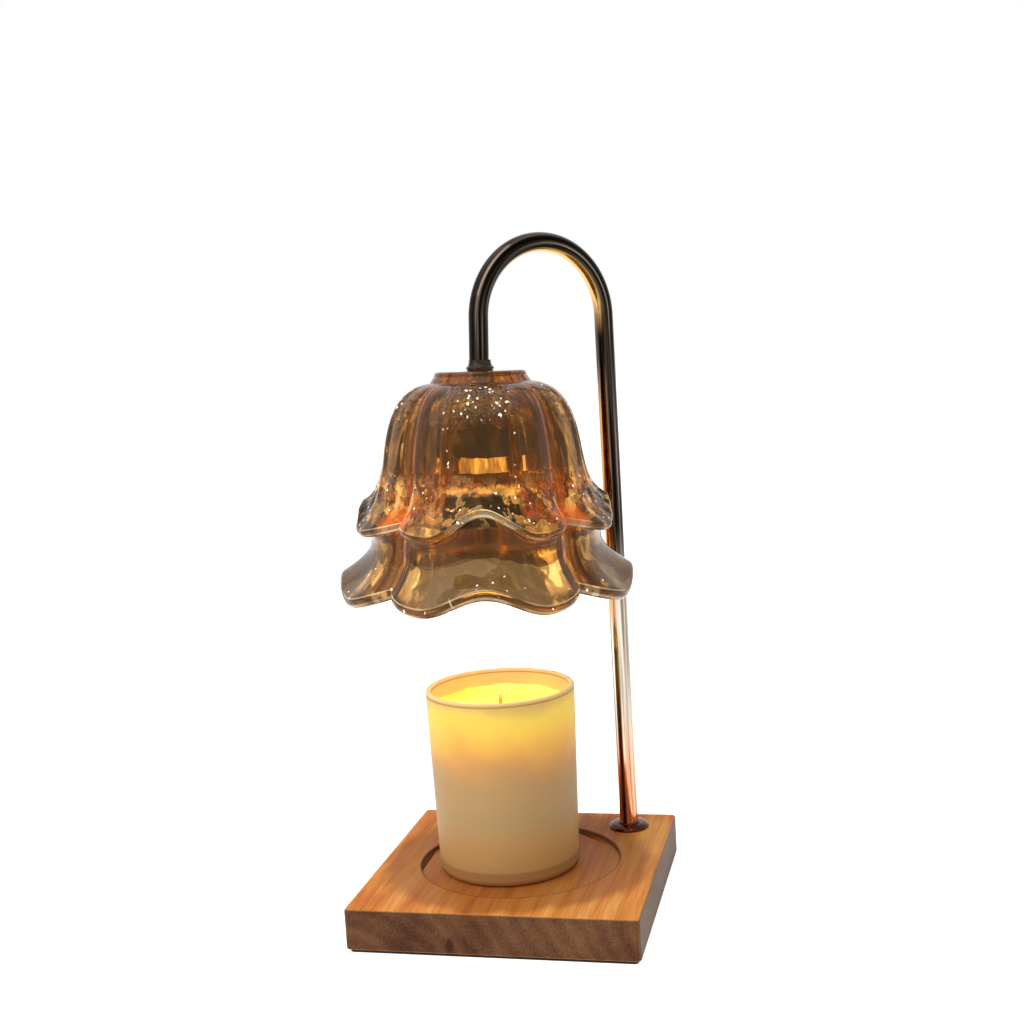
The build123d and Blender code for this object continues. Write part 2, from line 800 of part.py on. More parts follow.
lens_radius = inner_radius - fit_gap
with BuildPart() as bulb_lens:
    with BuildSketch(side_of(head.offset(reflector_level))):
        with BuildLine():
            Polyline((0, -lens_crown), (0, lens_thickness), (lens_radius, lens_thickness), (lens_radius, 0))
            Bezier((lens_radius, 0), (lens_radius * 0.6, -lens_crown), (0, -lens_crown))
        make_face()
    revolve(axis=head_axis)
keep(bulb_lens, "bulb_lens")

with BuildPart() as bulb_capsule:
    with BuildSketch(head.offset(bulb_neck_level - capsule_height)):
        Circle(capsule_radius)
    extrude(amount=capsule_height)
    fillet(bulb_capsule.edges().sort_by(head_axis)[0], capsule_radius * 0.8)
keep(bulb_capsule, "bulb_capsule")

# ---------------------------------------------------------------- glass shade
# The wall is lofted round the arm's axis through upright sections. A petal's sections run from the
# crease on one side, over a lobe, the heart notch (angle 0) and the other lobe, to the next crease.
crease_angle = 180 / petal_count
lobe_angle = lobe_share * crease_angle
half_angles = [lobe_angle * step / sections_to_lobe for step in range(sections_to_lobe)]
half_angles += [
    lobe_angle + (crease_angle - lobe_angle) * step / sections_to_crease for step in range(sections_to_crease + 1)
]
petal_angles = [-angle for angle in reversed(half_angles[1:])] + half_angles


def hang(angle):
    """How far a rim has dropped from its notch (0) to its lobe (1)."""
    return sin(radians(90 * min(angle / lobe_angle, 1))) ** 2


def fold(angle, sharpness):
    """How far the wall has changed from its lobe (0) to its crease (1)."""
    return max(0, (angle - lobe_angle) / (crease_angle - lobe_angle)) ** sharpness


def lip(angle, radius, depth, thickness, notch, crease, splay, notch_splay):
    """Upper point, lower point and outward direction of a tier's rounded edge in a section.

    notch and crease each give how far in and how far up the edge is there, next to the lobe.
    """
    dropped, risen, tucked = hang(angle), fold(angle, rise_sharpness), fold(angle, tuck_sharpness)
    tilt = radians(notch_splay + (splay - notch_splay) * dropped)
    centre = Vector(
        radius - notch[0] * (1 - dropped) - crease[0] * tucked,
        -depth + notch[1] * (1 - dropped) + crease[1] * risen,
    )
    across = Vector(sin(tilt), cos(tilt)) * (thickness / 2)
    return centre + across, centre - across, Vector(cos(tilt), -sin(tilt))


def rounded_edge(upper, lower, outward):
    """A curve round the edge of the glass, from its upper to its lower point."""
    bulge = outward * ((upper - lower).length * 2 / 3)
    return Bezier(upper, upper + bulge, lower + bulge, lower)


def wall_section(meridian, angle):
    """The glass wall cut by an upright plane through the axis, at an angle from a petal's notch."""
    tucked = fold(angle, tuck_sharpness)
    knee = Vector(bell_radius - bell_notch_inset * (1 - hang(angle)) - bell_crease_inset * tucked, -bell_depth)
    waist = Vector(waist_radius - waist_crease_inset * tucked, -waist_depth)
    inner_waist = Vector(waist_radius - waist_wall, -waist_depth)
    inner_knee = Vector(bell_radius - glass_wall, -bell_depth - 1)
    wall_slope = Vector(sin(radians(bell_lean)), -cos(radians(bell_lean)))
    ruffle_top, ruffle_under, ruffle_out = lip(
        angle,
        ruffle_radius,
        ruffle_depth,
        ruffle_thickness,
        (ruffle_notch_inset, ruffle_notch_rise),
        (ruffle_crease_inset, ruffle_crease_rise),
        ruffle_splay,
        ruffle_notch_splay,
    )
    rim_top, rim_under, rim_out = lip(
        angle,
        rim_radius,
        rim_depth,
        rim_thickness,
        (rim_notch_inset, rim_notch_rise),
        (rim_crease_inset, rim_crease_rise),
        rim_splay,
        rim_notch_splay,
    )
    ruffle_drop = knee.Y - ruffle_top.Y
    rim_drop = waist.Y - rim_top.Y
    inner_rise = inner_knee.Y - inner_waist.Y
    outline = [
        # Crown and collar
        Line((bore_start, 0), (collar_radius - collar_edge, 0)),
        Bezier((collar_radius - collar_edge, 0), (collar_radius, 0), (collar_radius, -collar_edge)),
        Line((collar_radius, -collar_edge), (collar_foot_radius, -collar_height)),
        # Outside of the bell and its ruffle
        Bezier(
            (collar_foot_radius, -collar_height),
            ((collar_foot_radius + knee.X * 2) / 3, -collar_height - bell_depth * 0.05),
            knee - wall_slope * (bell_depth * 0.48),
            knee,
        ),
        Bezier(
            knee,
            knee + wall_slope * (ruffle_drop * 0.5),
            ruffle_top - ruffle_out * (ruffle_drop * 0.38),
            ruffle_top,
        ),
        rounded_edge(ruffle_top, ruffle_under, ruffle_out),
        # Waist under the ruffle, then the flared rim
        Bezier(
            ruffle_under,
            ruffle_under - ruffle_out * (ruffle_thickness * 0.7),
            waist + Vector(0, (ruffle_under.Y - waist.Y) * 0.5),
            waist,
        ),
        Bezier(waist, waist - Vector(0, rim_drop * 0.4), rim_top - rim_out * (rim_drop * 0.5), rim_top),
        rounded_edge(rim_top, rim_under, rim_out),
        # Smooth inside, back up to the crown
        Bezier(
            rim_under,
            rim_under - rim_out * (rim_drop * 0.5),
            inner_waist - Vector(0, rim_drop * 0.4),
            inner_waist,
        ),
        Bezier(
            inner_waist,
            inner_waist + Vector(0, inner_rise * 0.4),
            inner_knee + wall_slope * (inner_rise * 0.4),
            inner_knee,
        ),
        Bezier(
            inner_knee,
            inner_knee - wall_slope * (bell_depth * 0.4),
            (crown_radius + glass_wall * 2.6, -crown_thickness - glass_wall * 0.25),
            (crown_radius, -crown_thickness),
        ),
        Line((crown_radius, -crown_thickness), (bore_start, -crown_thickness)),
        Line((bore_start, -crown_thickness), (bore_start, 0)),
    ]
    return Face(Wire(outline)).moved(meridian.location)


bore_start = nipple_radius / 2  # the sections stop short of the axis, inside the hole for the nipple
shade_frame = head.offset(glass_top)
petal_start = shade_heading - neck_heading + 90
petal_sections = [wall_section(side_of(Plane.XY.rotated((0, 0, angle))), abs(angle)) for angle in petal_angles]
with BuildPart() as petal:
    loft(petal_sections)

with BuildPart(shade_frame) as glass_shade:
    with PolarLocations(0, petal_count, start_angle=petal_start):
        add(petal.part)
    Hole(nipple_radius + free_gap, depth=2 * crown_thickness)
keep(glass_shade, "glass_shade")

# ---------------------------------------------------------------- jar candle
jar_side = side_of(candle_plane)


def jar_outer_radius(height):
    """The jar's outside radius at a height above its foot."""
    return jar_bottom_radius + (jar_top_radius - jar_bottom_radius) * height / jar_height


jar_axis = axis_of(candle_plane)
with BuildPart() as candle_jar:
    with BuildSketch(jar_side):
        with BuildLine():
            Polyline(
                (0, 0),
                (jar_bottom_radius, 0),
                (jar_top_radius, jar_height),
                (jar_top_radius - jar_wall, jar_height),
                (jar_outer_radius(jar_floor) - jar_wall, jar_floor),
                (0, jar_floor),
                close=True,
            )
        make_face()
    revolve(axis=jar_axis)
    foot_edges, floor_edges, *_, rim_edges = candle_jar.edges().filter_by(GeomType.CIRCLE).group_by(jar_axis)
    fillet(foot_edges, jar_heel_radius)
    fillet(floor_edges, jar_inner_heel_radius)
    fillet(rim_edges, jar_rim_radius)
keep(candle_jar, "candle_jar")

wax_surface = jar_height - wax_below_rim
wax_foot_radius = jar_outer_radius(jar_floor) - jar_wall - fit_gap
wax_surface_radius = jar_outer_radius(wax_surface) - jar_wall - fit_gap
wick_bore = wick_radius + fit_gap
tab_bore = tab_radius + fit_gap
tab_neck_bore = tab_neck_radius + fit_gap
tab_top = jar_floor + tab_thickness + fit_gap
tab_neck_top = jar_floor + tab_thickness + tab_neck_height + fit_gap
with BuildPart() as candle_wax:
    with BuildSketch(jar_side):
        with BuildLine():
            Polyline(
                (tab_bore, jar_floor),
                (wax_foot_radius, jar_floor),
                (wax_surface_radius, wax_surface),
                (wick_bore, wax_surface),
                (wick_bore, tab_neck_top),
                (tab_neck_bore, tab_neck_top),
                (tab_neck_bore, tab_top),
                (tab_bore, tab_top),
                close=True,
            )
        make_face()
    revolve(axis=jar_axis)
    foot_edges = candle_wax.edges().filter_by(GeomType.CIRCLE).group_by(jar_axis)[0]
    fillet(foot_edges.sort_by(SortBy.RADIUS)[-1], jar_inner_heel_radius + fit_gap)
keep(candle_wax, "candle_wax")

with BuildPart() as wick_tab:
    with BuildSketch(candle_plane.offset(jar_floor)):
        Circle(tab_radius)
    extrude(amount=tab_thickness)
    with BuildSketch(candle_plane.offset(jar_floor + tab_thickness)):
        Circle(tab_neck_radius)
    extrude(amount=tab_neck_height)
    with BuildSketch(candle_plane.offset(jar_floor + tab_thickness)):
        Circle(wick_bore)
    extrude(amount=tab_neck_height, mode=Mode.SUBTRACT)
keep(wick_tab, "wick_tab")

with BuildPart() as candle_wick:
    with BuildSketch(candle_plane.offset(jar_floor + tab_thickness)):
        Circle(wick_radius)
    extrude(amount=wax_surface + wick_proud - jar_floor - tab_thickness)
keep(candle_wick, "candle_wick")
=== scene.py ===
# %% [markdown]
# # A candle warmer lamp
# A thick amber glass flower hangs from a chrome gooseneck and warms a jar candle that stands in a
# round recess of a small wooden board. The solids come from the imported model; this lesson gives
# them their finish and rebuilds the pieces that need softer curves: the glass, the tube, the jar,
# the wax and the wick.

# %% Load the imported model
from math import cos, pi, radians, sin

import bmesh
import bpy
from mathutils import Matrix, Vector
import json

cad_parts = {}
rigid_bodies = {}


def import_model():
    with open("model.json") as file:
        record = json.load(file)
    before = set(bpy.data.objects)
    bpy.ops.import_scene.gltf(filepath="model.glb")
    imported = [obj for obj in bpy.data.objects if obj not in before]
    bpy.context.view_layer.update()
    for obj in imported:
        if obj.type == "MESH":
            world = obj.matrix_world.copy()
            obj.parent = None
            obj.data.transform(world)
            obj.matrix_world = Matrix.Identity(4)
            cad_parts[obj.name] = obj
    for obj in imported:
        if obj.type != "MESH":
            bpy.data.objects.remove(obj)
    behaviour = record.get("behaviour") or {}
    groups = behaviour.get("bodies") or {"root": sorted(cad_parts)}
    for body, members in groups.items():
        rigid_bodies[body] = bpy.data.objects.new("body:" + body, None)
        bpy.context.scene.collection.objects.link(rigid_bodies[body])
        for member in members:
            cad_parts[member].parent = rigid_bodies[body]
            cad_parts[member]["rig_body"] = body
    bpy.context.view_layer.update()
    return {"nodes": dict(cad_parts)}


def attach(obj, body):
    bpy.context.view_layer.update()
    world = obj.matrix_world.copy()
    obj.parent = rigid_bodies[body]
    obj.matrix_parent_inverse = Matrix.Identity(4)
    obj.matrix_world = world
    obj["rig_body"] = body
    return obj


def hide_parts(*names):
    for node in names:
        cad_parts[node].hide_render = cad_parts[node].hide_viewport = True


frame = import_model()
mm = 0.001

# %% [markdown]
# ## Camera
# The lamp is seen from a little above and a little to its right, from about seventy centimetres.
# A camera looks along its own -Z, so its matrix is built from its right, up and backward
# directions, which is surer than three Euler angles when the picture is also rolled.

# %% Camera
scene = bpy.context.scene
scene.view_settings.view_transform = "Standard"
yaw, pitch, roll = -0.234457, 0.129646, -0.0593746
forward = Vector((sin(yaw) * cos(pitch), cos(yaw) * cos(pitch), -sin(pitch)))
level_right = Vector((cos(yaw), -sin(yaw), 0))
level_up = level_right.cross(forward)
right = cos(roll) * level_right + sin(roll) * level_up
up = -sin(roll) * level_right + cos(roll) * level_up
camera_data = bpy.data.cameras.new("camera")
camera_data.sensor_width = 36
camera_data.lens = 51.215
camera = bpy.data.objects.new("camera", camera_data)
scene.collection.objects.link(camera)
turn = Matrix((right, up, -forward)).transposed().to_4x4()
camera.matrix_world = Matrix.Translation((0.16972, -0.684989, 0.289563)) @ turn
scene.camera = camera
print("camera distance", round(camera.matrix_world.translation.length, 3))

# %% [markdown]
# ## Helpers for node trees
# Every finish is a node tree round one Principled shader. The helpers start a material, add a node
# and join its inputs, and make what most finishes share: a ramp, noise, a bump, a mix, arithmetic.
# A socket knows its tree, so only a helper that starts a branch has to be given one. Patterns read
# Object coordinates, which stay on the piece when it moves.


# %% Helpers for node trees
def new_finish(name):
    """A material, its tree and its Principled shader."""
    material = bpy.data.materials.new(name)
    material.use_nodes = True
    tree = material.node_tree
    return material, tree, tree.nodes["Principled BSDF"]


def join(value, socket):
    """Link an output to a socket, or set the socket's own value."""
    if isinstance(value, bpy.types.NodeSocket):
        socket.id_data.links.new(value, socket)
    else:
        socket.default_value = value


def tree_of(*values):
    """The tree of the first socket among some values."""
    return next(value.id_data for value in values if isinstance(value, bpy.types.NodeSocket))


def node(tree, kind, inputs=(), **settings):
    """Add a node, give it its settings, and fill its inputs by position or name."""
    made = tree.nodes.new(kind)
    for key, value in settings.items():
        setattr(made, key, value)
    for key, value in dict(inputs).items():
        join(value, made.inputs[key])
    return made


def ramp(factor, stops):
    """A colour ramp over a factor, from (position, (r, g, b)) stops."""
    made = node(factor.id_data, "ShaderNodeValToRGB", {0: factor})
    elements = made.color_ramp.elements
    while len(elements) < len(stops):
        elements.new(1.0)
    for element, (position, colour) in zip(elements, stops):
        element.position = position
        element.color = (*colour, 1)
    return made.outputs[0]


def object_point(tree, scale=(1, 1, 1)):
    """Object coordinates, stretched along their axes."""
    coordinates = node(tree, "ShaderNodeTexCoord").outputs["Object"]
    return node(tree, "ShaderNodeMapping", {0: coordinates, 3: scale}).outputs[0]


def parts_of(vector):
    """The three numbers of a vector."""
    return node(vector.id_data, "ShaderNodeSeparateXYZ", {0: vector}).outputs


def vector_step(operation, first, second=(0, 0, 0)):
    """One step of arithmetic on vectors, with its vector and its number."""
    inputs = {0: first, 1: second}
    return node(first.id_data, "ShaderNodeVectorMath", inputs, operation=operation).outputs


def noise(vector, scale, detail=3.0, roughness=0.5):
    """Noise on a vector, as a factor."""
    inputs = {"Vector": vector, "Scale": scale, "Detail": detail, "Roughness": roughness}
    return node(vector.id_data, "ShaderNodeTexNoise", inputs).outputs[0]


def cells_on(vector, scale, **settings):
    """Voronoi cells on a vector, with their distances and colours."""
    inputs = {0: vector, "Scale": scale}
    return node(vector.id_data, "ShaderNodeTexVoronoi", inputs, **settings).outputs


def combined(*parts):
    """A vector from numbers."""
    return node(tree_of(*parts), "ShaderNodeCombineXYZ", dict(enumerate(parts))).outputs[0]


def own_noise(tree, *settings, stretch=(1, 1, 1)):
    """Noise on stretched Object coordinates."""
    return noise(object_point(tree, stretch), *settings)


def set_shader(shader, **values):
    """Fill the shader's sockets, with underscores for the spaces in their names."""
    for key, value in values.items():
        join(value, shader.inputs[key.replace("_", " ")])


def bump(shader, height, strength, distance):
    """Raise a surface by a height pattern."""
    inputs = {"Height": height, "Strength": strength, "Distance": distance}
    set_shader(shader, Normal=node(shader.id_data, "ShaderNodeBump", inputs).outputs[0])


def mix_colour(factor, first, second, blend_type="MIX"):
    """Mix two colours."""
    tree = tree_of(factor, first, second)
    made = node(tree, "ShaderNodeMix", data_type="RGBA", blend_type=blend_type)
    for place, value in {0: factor, 6: first, 7: second}.items():
        join(value, made.inputs[place])
    return made.outputs[2]


def calc(operation, first, second=0.0, clamp=False):
    """One step of arithmetic."""
    tree, inputs = tree_of(first, second), {0: first, 1: second}
    return node(tree, "ShaderNodeMath", inputs, operation=operation, use_clamp=clamp).outputs[0]


def minus(first, second, clamp=False):
    """One value less another."""
    return calc("SUBTRACT", first, second, clamp)


def chained(operation):
    """A function that joins any number of values by one operation."""
    def joined(first, *others):
        for other in others:
            first = calc(operation, first, other)
        return first
    return joined


plus, times, largest = chained("ADD"), chained("MULTIPLY"), chained("MAXIMUM")


def weighted(*shares):
    """The sum of values that each come with a weight."""
    return plus(*[times(value, weight) for value, weight in shares])


print("arithmetic ready")

# %% [markdown]
# ## Helpers for masks and colours
# A finish is built up in layers: a mask says where, and a colour is laid over what is there. Masks
# come from smooth steps, lines and bands of some value. Colours that were matched are written as
# they look on a screen, from 0 to 255, and turned into the values a shader needs.


# %% Helpers for masks and colours
def paint(red, green, blue):
    """A colour as it looks on a screen, 0 to 255, as the linear values a shader needs."""
    shares = [value / 255 for value in (red, green, blue)]
    return tuple(s / 12.92 if s <= 0.04045 else ((s + 0.055) / 1.055) ** 2.4 for s in shares)


def painted_ramp(factor, stops):
    """A colour ramp over a factor, from screen colours by position."""
    return ramp(factor, [(position, paint(*colour)) for position, colour in stops.items()])


def stored(tree, label, output="Fac"):
    """A value that a rule stored on the mesh."""
    return node(tree, "ShaderNodeAttribute", attribute_name=label).outputs[output]


def between(value, low, high):
    """0 at a low value, 1 at a high one, smooth in between."""
    inputs = {0: value, 1: low, 2: high}
    made = node(value.id_data, "ShaderNodeMapRange", inputs, interpolation_type="SMOOTHSTEP")
    return made.outputs[0]


def band(value, low, low_full, high_full, high):
    """0 up to a low value, 1 inside a band, 0 again from a high value on."""
    return times(between(value, low, low_full), between(value, high, high_full))


def line_at(value, middle, half_width):
    """1 on a line where a value passes its middle, 0 beyond its half width."""
    away = calc("ABSOLUTE", minus(value, middle))
    return between(away, half_width, half_width * 0.25)


def spread(factor, low, high):
    """A factor from 0 to 1, spread from a low to a high value."""
    return node(factor.id_data, "ShaderNodeMapRange", {0: factor, 3: low, 4: high}).outputs[0]


def lay_over(tint, mask, strength, colour):
    """Lay a colour over another by a mask."""
    return mix_colour(times(mask, strength), tint, (*colour, 1))


def lay_all(tint, layers):
    """Lay colours over each other, from (mask, strength, colour) layers."""
    for layer in layers:
        tint = lay_over(tint, *layer)
    return tint


def looked_at(tree):
    """1 where the camera, a mirror or a glass looks at a surface, 0 where light only falls on it."""
    seen = node(tree, "ShaderNodeLightPath").outputs
    return largest(seen["Is Camera Ray"], seen["Is Glossy Ray"], seen["Is Transmission Ray"])


print("mask and colour helpers ready")

# %% [markdown]
# ## Helpers for pieces
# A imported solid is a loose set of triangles, so a smooth finish needs a merged copy: its points
# are joined, its edges sharper than an angle stay crisp, and it then stands for the solid. Round
# pieces are spun from a profile.


# %% Helpers for pieces
def add_piece(name, mesh, body, finish, replaced=()):
    """Give a mesh a finish, put it on a body and let it stand for CAD nodes."""
    piece = bpy.data.objects.new(name, mesh)
    scene.collection.objects.link(piece)
    mesh.materials.clear()
    mesh.materials.append(finish)
    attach(piece, body)
    if replaced:
        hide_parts(*replaced)
    print(name, len(mesh.polygons), "faces")
    return piece


def smooth(mesh, angle):
    """Shade a mesh smooth, with its edges over an angle kept sharp."""
    mesh.shade_smooth()
    mesh.set_sharp_from_angle(angle=radians(angle))


def dressed_copy(node_name, finish, angle=35):
    """A merged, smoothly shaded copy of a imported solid, in its place."""
    source = frame["nodes"][node_name]
    body = source["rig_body"]
    work = bmesh.new()
    work.from_mesh(source.data)
    bmesh.ops.remove_doubles(work, verts=work.verts, dist=1e-6)
    mesh = bpy.data.meshes.new(node_name + "_shell")
    work.to_mesh(mesh)
    work.free()
    smooth(mesh, angle)
    return add_piece(node_name + "_shell", mesh, body, finish, [node_name])


def spun(name, profile, centre, steps=128):
    """A closed mesh spun round an axis from (radius, height) points that start and end on it."""
    work = bmesh.new()
    turns = [2 * pi * step / steps for step in range(steps)]
    rings = []
    for radius, height in profile:
        places = [(radius * cos(a), radius * sin(a), height) for a in (turns if radius else [0])]
        rings.append([work.verts.new(centre + Vector(place)) for place in places])
    for lower, upper in zip(rings, rings[1:]):
        for step in range(steps):
            after = (step + 1) % steps
            if len(lower) == 1:
                work.faces.new((lower[0], upper[after], upper[step]))
            elif len(upper) == 1:
                work.faces.new((lower[step], lower[after], upper[0]))
            else:
                work.faces.new((lower[step], lower[after], upper[after], upper[step]))
    bmesh.ops.recalc_face_normals(work, faces=work.faces)
    mesh = bpy.data.meshes.new(name)
    work.to_mesh(mesh)
    work.free()
    return mesh


print("piece helpers ready")

# %% [markdown]
# ## Helpers for Geometry Nodes
# A Geometry Nodes tree is a rule with named inputs. One helper starts a tree with its inputs, and
# another runs it on a mesh or curve, sets each input by its socket's identifier, and turns the
# result into a plain mesh, because an exported model keeps no modifiers and no instances.


# %% Helpers for Geometry Nodes
socket_kinds = {int: "NodeSocketInt", float: "NodeSocketFloat", tuple: "NodeSocketVector"}


def new_rule(name, inputs):
    """A tree with a geometry in and out, and one named input for each size."""
    tree = bpy.data.node_groups.new(name, "GeometryNodeTree")
    tree.interface.new_socket("Geometry", in_out="INPUT", socket_type="NodeSocketGeometry")
    tree.interface.new_socket("Geometry", in_out="OUTPUT", socket_type="NodeSocketGeometry")
    for label, value in inputs.items():
        kind = socket_kinds[type(value)]
        tree.interface.new_socket(label, in_out="INPUT", socket_type=kind).default_value = value
    return tree, tree.nodes.new("NodeGroupInput").outputs, tree.nodes.new("NodeGroupOutput").inputs


def store(geometry, label, value, kind="FLOAT"):
    """Store a value on a geometry under a name."""
    inputs = {0: geometry, "Name": label, "Value": value}
    tree = geometry.id_data
    return node(tree, "GeometryNodeStoreNamedAttribute", inputs, data_type=kind).outputs[0]


def close_rule(tree, geometry, finish, result):
    """End a tree in smooth shading, real geometry and a material."""
    shaded = node(tree, "GeometryNodeSetShadeSmooth", {0: geometry})
    real = node(tree, "GeometryNodeRealizeInstances", {0: shaded.outputs[0]})
    painted = node(tree, "GeometryNodeSetMaterial", {0: real.outputs[0], "Material": finish})
    tree.links.new(painted.outputs[0], result[0])


def run_rule(name, tree, data, values):
    """Run a tree on a mesh or a curve with chosen sizes, and give back a plain mesh."""
    carrier = bpy.data.objects.new(name + "_rule", data)
    scene.collection.objects.link(carrier)
    modifier = carrier.modifiers.new("rule", "NODES")
    modifier.node_group = tree
    for item in tree.interface.items_tree:
        if item.in_out == "INPUT" and item.name in values:
            modifier[item.identifier] = values[item.name]
    bpy.context.view_layer.update()
    evaluated = carrier.evaluated_get(bpy.context.evaluated_depsgraph_get())
    mesh = bpy.data.meshes.new_from_object(evaluated)
    mesh.name = name
    carrier.modifiers.remove(modifier)
    bpy.data.objects.remove(carrier)
    return mesh


print("rule helpers ready")

# %% [markdown]
# ## The glass flower: its section
# The shade is pressed in one piece: a thick crown and collar, a bell that ends in a ruffle, and a
# flared rim under it. Cut it by an upright plane and the wall is a closed outline. The outline
# hangs lowest in a lobe and is short in the notch of each heart-shaped petal. Towards the crease
# between two petals it first rises and then tucks in. The outline is drawn four times, point for
# point, so a rule can blend between them.

# %% The wall's outline
bore_radius, collar_radius, collar_rounding, collar_foot, collar_height = 4.3, 22.3, 2.2, 24.4, 5.2
bell_radius, bell_depth, bell_lean = 48.5, 38.0, radians(8)
waist_radius, waist_depth, inner_waist_radius = 55.8, 79.5, 50.2
inner_bell_radius, inner_bell_depth, crown_radius, crown_depth = 43.1, 39.0, 17.0, 8.96
crown_way, root_reach = (31.0, -10.4), 2.8
knee_in_notch, knee_in_crease, waist_in_crease = 0.6, 3.2, 2.6
ruffle_edge = {
    "radius": 61.9, "depth": 73.2, "thickness": 4.8, "splay": 42, "notch_splay": 30,
    "notch": (4.5, 11.0), "crease": (10.0, 4.2),
}
rim_edge = {
    "radius": 68.5, "depth": 105.2, "thickness": 6.4, "splay": 44, "notch_splay": 32,
    "notch": (0.6, 8.0), "crease": (11.0, 6.2),
}


def bezier(steps, *points):
    """Points along a Bezier curve, without its last one."""
    found = []
    for step in range(steps):
        level = [Vector(p) for p in points]
        while len(level) > 1:
            level = [a.lerp(b, step / steps) for a, b in zip(level, level[1:])]
        found.append(level[0])
    return found


def lip(dropped, risen, tucked, radius, depth, thickness, splay, notch_splay, notch, crease):
    """A tier's rounded edge: its upper and lower point, the way out, and how far it bulges."""
    tilt = radians(notch_splay + (splay - notch_splay) * dropped)
    centre = Vector((
        radius - notch[0] * (1 - dropped) - crease[0] * tucked,
        -depth + notch[1] * (1 - dropped) + crease[1] * risen,
    ))
    across = Vector((sin(tilt), cos(tilt))) * (thickness / 2)
    out = Vector((cos(tilt), -sin(tilt)))
    return centre + across, centre - across, out, out * (thickness * 2 / 3)


def wall_curves(dropped, risen, tucked):
    """The wall's closed outline, as curves of (radius, height) points in millimetres."""
    knee_radius = bell_radius - knee_in_notch * (1 - dropped) - knee_in_crease * tucked
    knee = Vector((knee_radius, -bell_depth))
    waist = Vector((waist_radius - waist_in_crease * tucked, -waist_depth))
    inner_waist = Vector((inner_waist_radius, -waist_depth))
    inner_knee = Vector((inner_bell_radius, -inner_bell_depth))
    slope, down = Vector((sin(bell_lean), -cos(bell_lean))), Vector((0, -1))
    top, under, out, bulge = lip(dropped, risen, tucked, **ruffle_edge)
    rim_top, rim_under, rim_out, rim_bulge = lip(dropped, risen, tucked, **rim_edge)
    drop, rim_drop = knee.y - top.y, waist.y - rim_top.y
    foot, rise = under.y - waist.y, inner_knee.y - inner_waist.y
    collar_flat = (collar_radius - collar_rounding, 0)
    collar_side = (collar_radius, -collar_rounding)
    shoulder = Vector((collar_foot, -collar_height))
    shoulder_way = ((collar_foot + knee.x * 2) / 3, -collar_height - bell_depth * 0.05)
    crown, crown_bore = (crown_radius, -crown_depth), (bore_radius, -crown_depth)
    rim_way, inner_way = rim_top - rim_out * (rim_drop * 0.5), rim_under - rim_out * (rim_drop * 0.5)
    waist_way, rise_way, knee_way = down * (rim_drop * 0.4), down * (rise * 0.4), slope * (rise * 0.4)
    return [
        bezier(9, (bore_radius, 0), collar_flat),
        bezier(9, collar_flat, (collar_radius, 0), collar_side),
        bezier(9, collar_side, shoulder),
        bezier(18, shoulder, shoulder_way, knee - slope * (bell_depth * 0.48), knee),
        bezier(14, knee, knee + slope * (drop * 0.5), top - out * (drop * 0.38), top),
        bezier(12, top, top + bulge, under + bulge, under),
        bezier(9, under, under - out * root_reach, waist - down * (foot * 0.5), waist),
        bezier(14, waist, waist + waist_way, rim_way, rim_top),
        bezier(12, rim_top, rim_top + rim_bulge, rim_under + rim_bulge, rim_under),
        bezier(12, rim_under, inner_way, inner_waist + waist_way, inner_waist),
        bezier(14, inner_waist, inner_waist - rise_way, inner_knee + knee_way, inner_knee),
        bezier(16, inner_knee, inner_knee - slope * (bell_depth * 0.4), crown_way, crown),
        bezier(9, crown, crown_bore),
        bezier(4, crown_bore, (bore_radius, 0)),
    ]


outlines = [wall_curves(1, 0, 0), wall_curves(0, 0, 0), wall_curves(1, 1, 0), wall_curves(1, 0, 1)]
counts = [len(curve) for curve in outlines[0]]
lobe, notch, raised, tucked = [sum(curves, []) for curves in outlines]
print("outline points", len(lobe))

# %% [markdown]
# ## The glass flower: its rule
# The outline goes into the tree as a string of points that carry three arrows each: the ways to
# the notch's, the raised and the tucked outline. The tree lays a grid round the axis. A grid point
# takes its place in the outline from its row and its angle from its column, and moves along the
# arrows by how near its angle is to a notch or a crease. Two narrow ribs run down each petal's
# outside, and the inside is gently rippled, as pressed glass is. The same grid point stores what
# the glass's colour needs: how far aside of the notch it lies, its height, how near an edge it is
# and whether it is on the outside.

# %% Section mesh with its arrows
section = bpy.data.meshes.new("glass_section")
section.from_pydata([(p.x * mm, 0, p.y * mm) for p in lobe], [], [])
for label, target in (("to_notch", notch), ("to_rise", raised), ("to_tuck", tucked)):
    arrows = section.attributes.new(label, "FLOAT_VECTOR", "POINT")
    for index, (a, b) in enumerate(zip(lobe, target)):
        arrows.data[index].vector = ((b.x - a.x) * mm, 0, (b.y - a.y) * mm)
starts = [sum(counts[:place]) for place in range(len(counts))]


def swell(index, first, last):
    """0 before and after a stretch of the outline's curves, rising smoothly to 1 in its middle."""
    share = (index - starts[first]) / (starts[last] + counts[last] - starts[first])
    return sin(pi * share) ** 0.5 if 0 < share < 1 else 0.0


marks = {"edge": [(5, 5), (8, 8)], "rib": [(3, 4)], "ripple": [(9, 11)], "flute": [(4, 5)]}
for label, stretches in marks.items():
    mark = section.attributes.new(label, "FLOAT", "POINT")
    for index in range(len(lobe)):
        mark.data[index].value = max(swell(index, *stretch) for stretch in stretches)
print("section carries", [a.name for a in section.attributes])

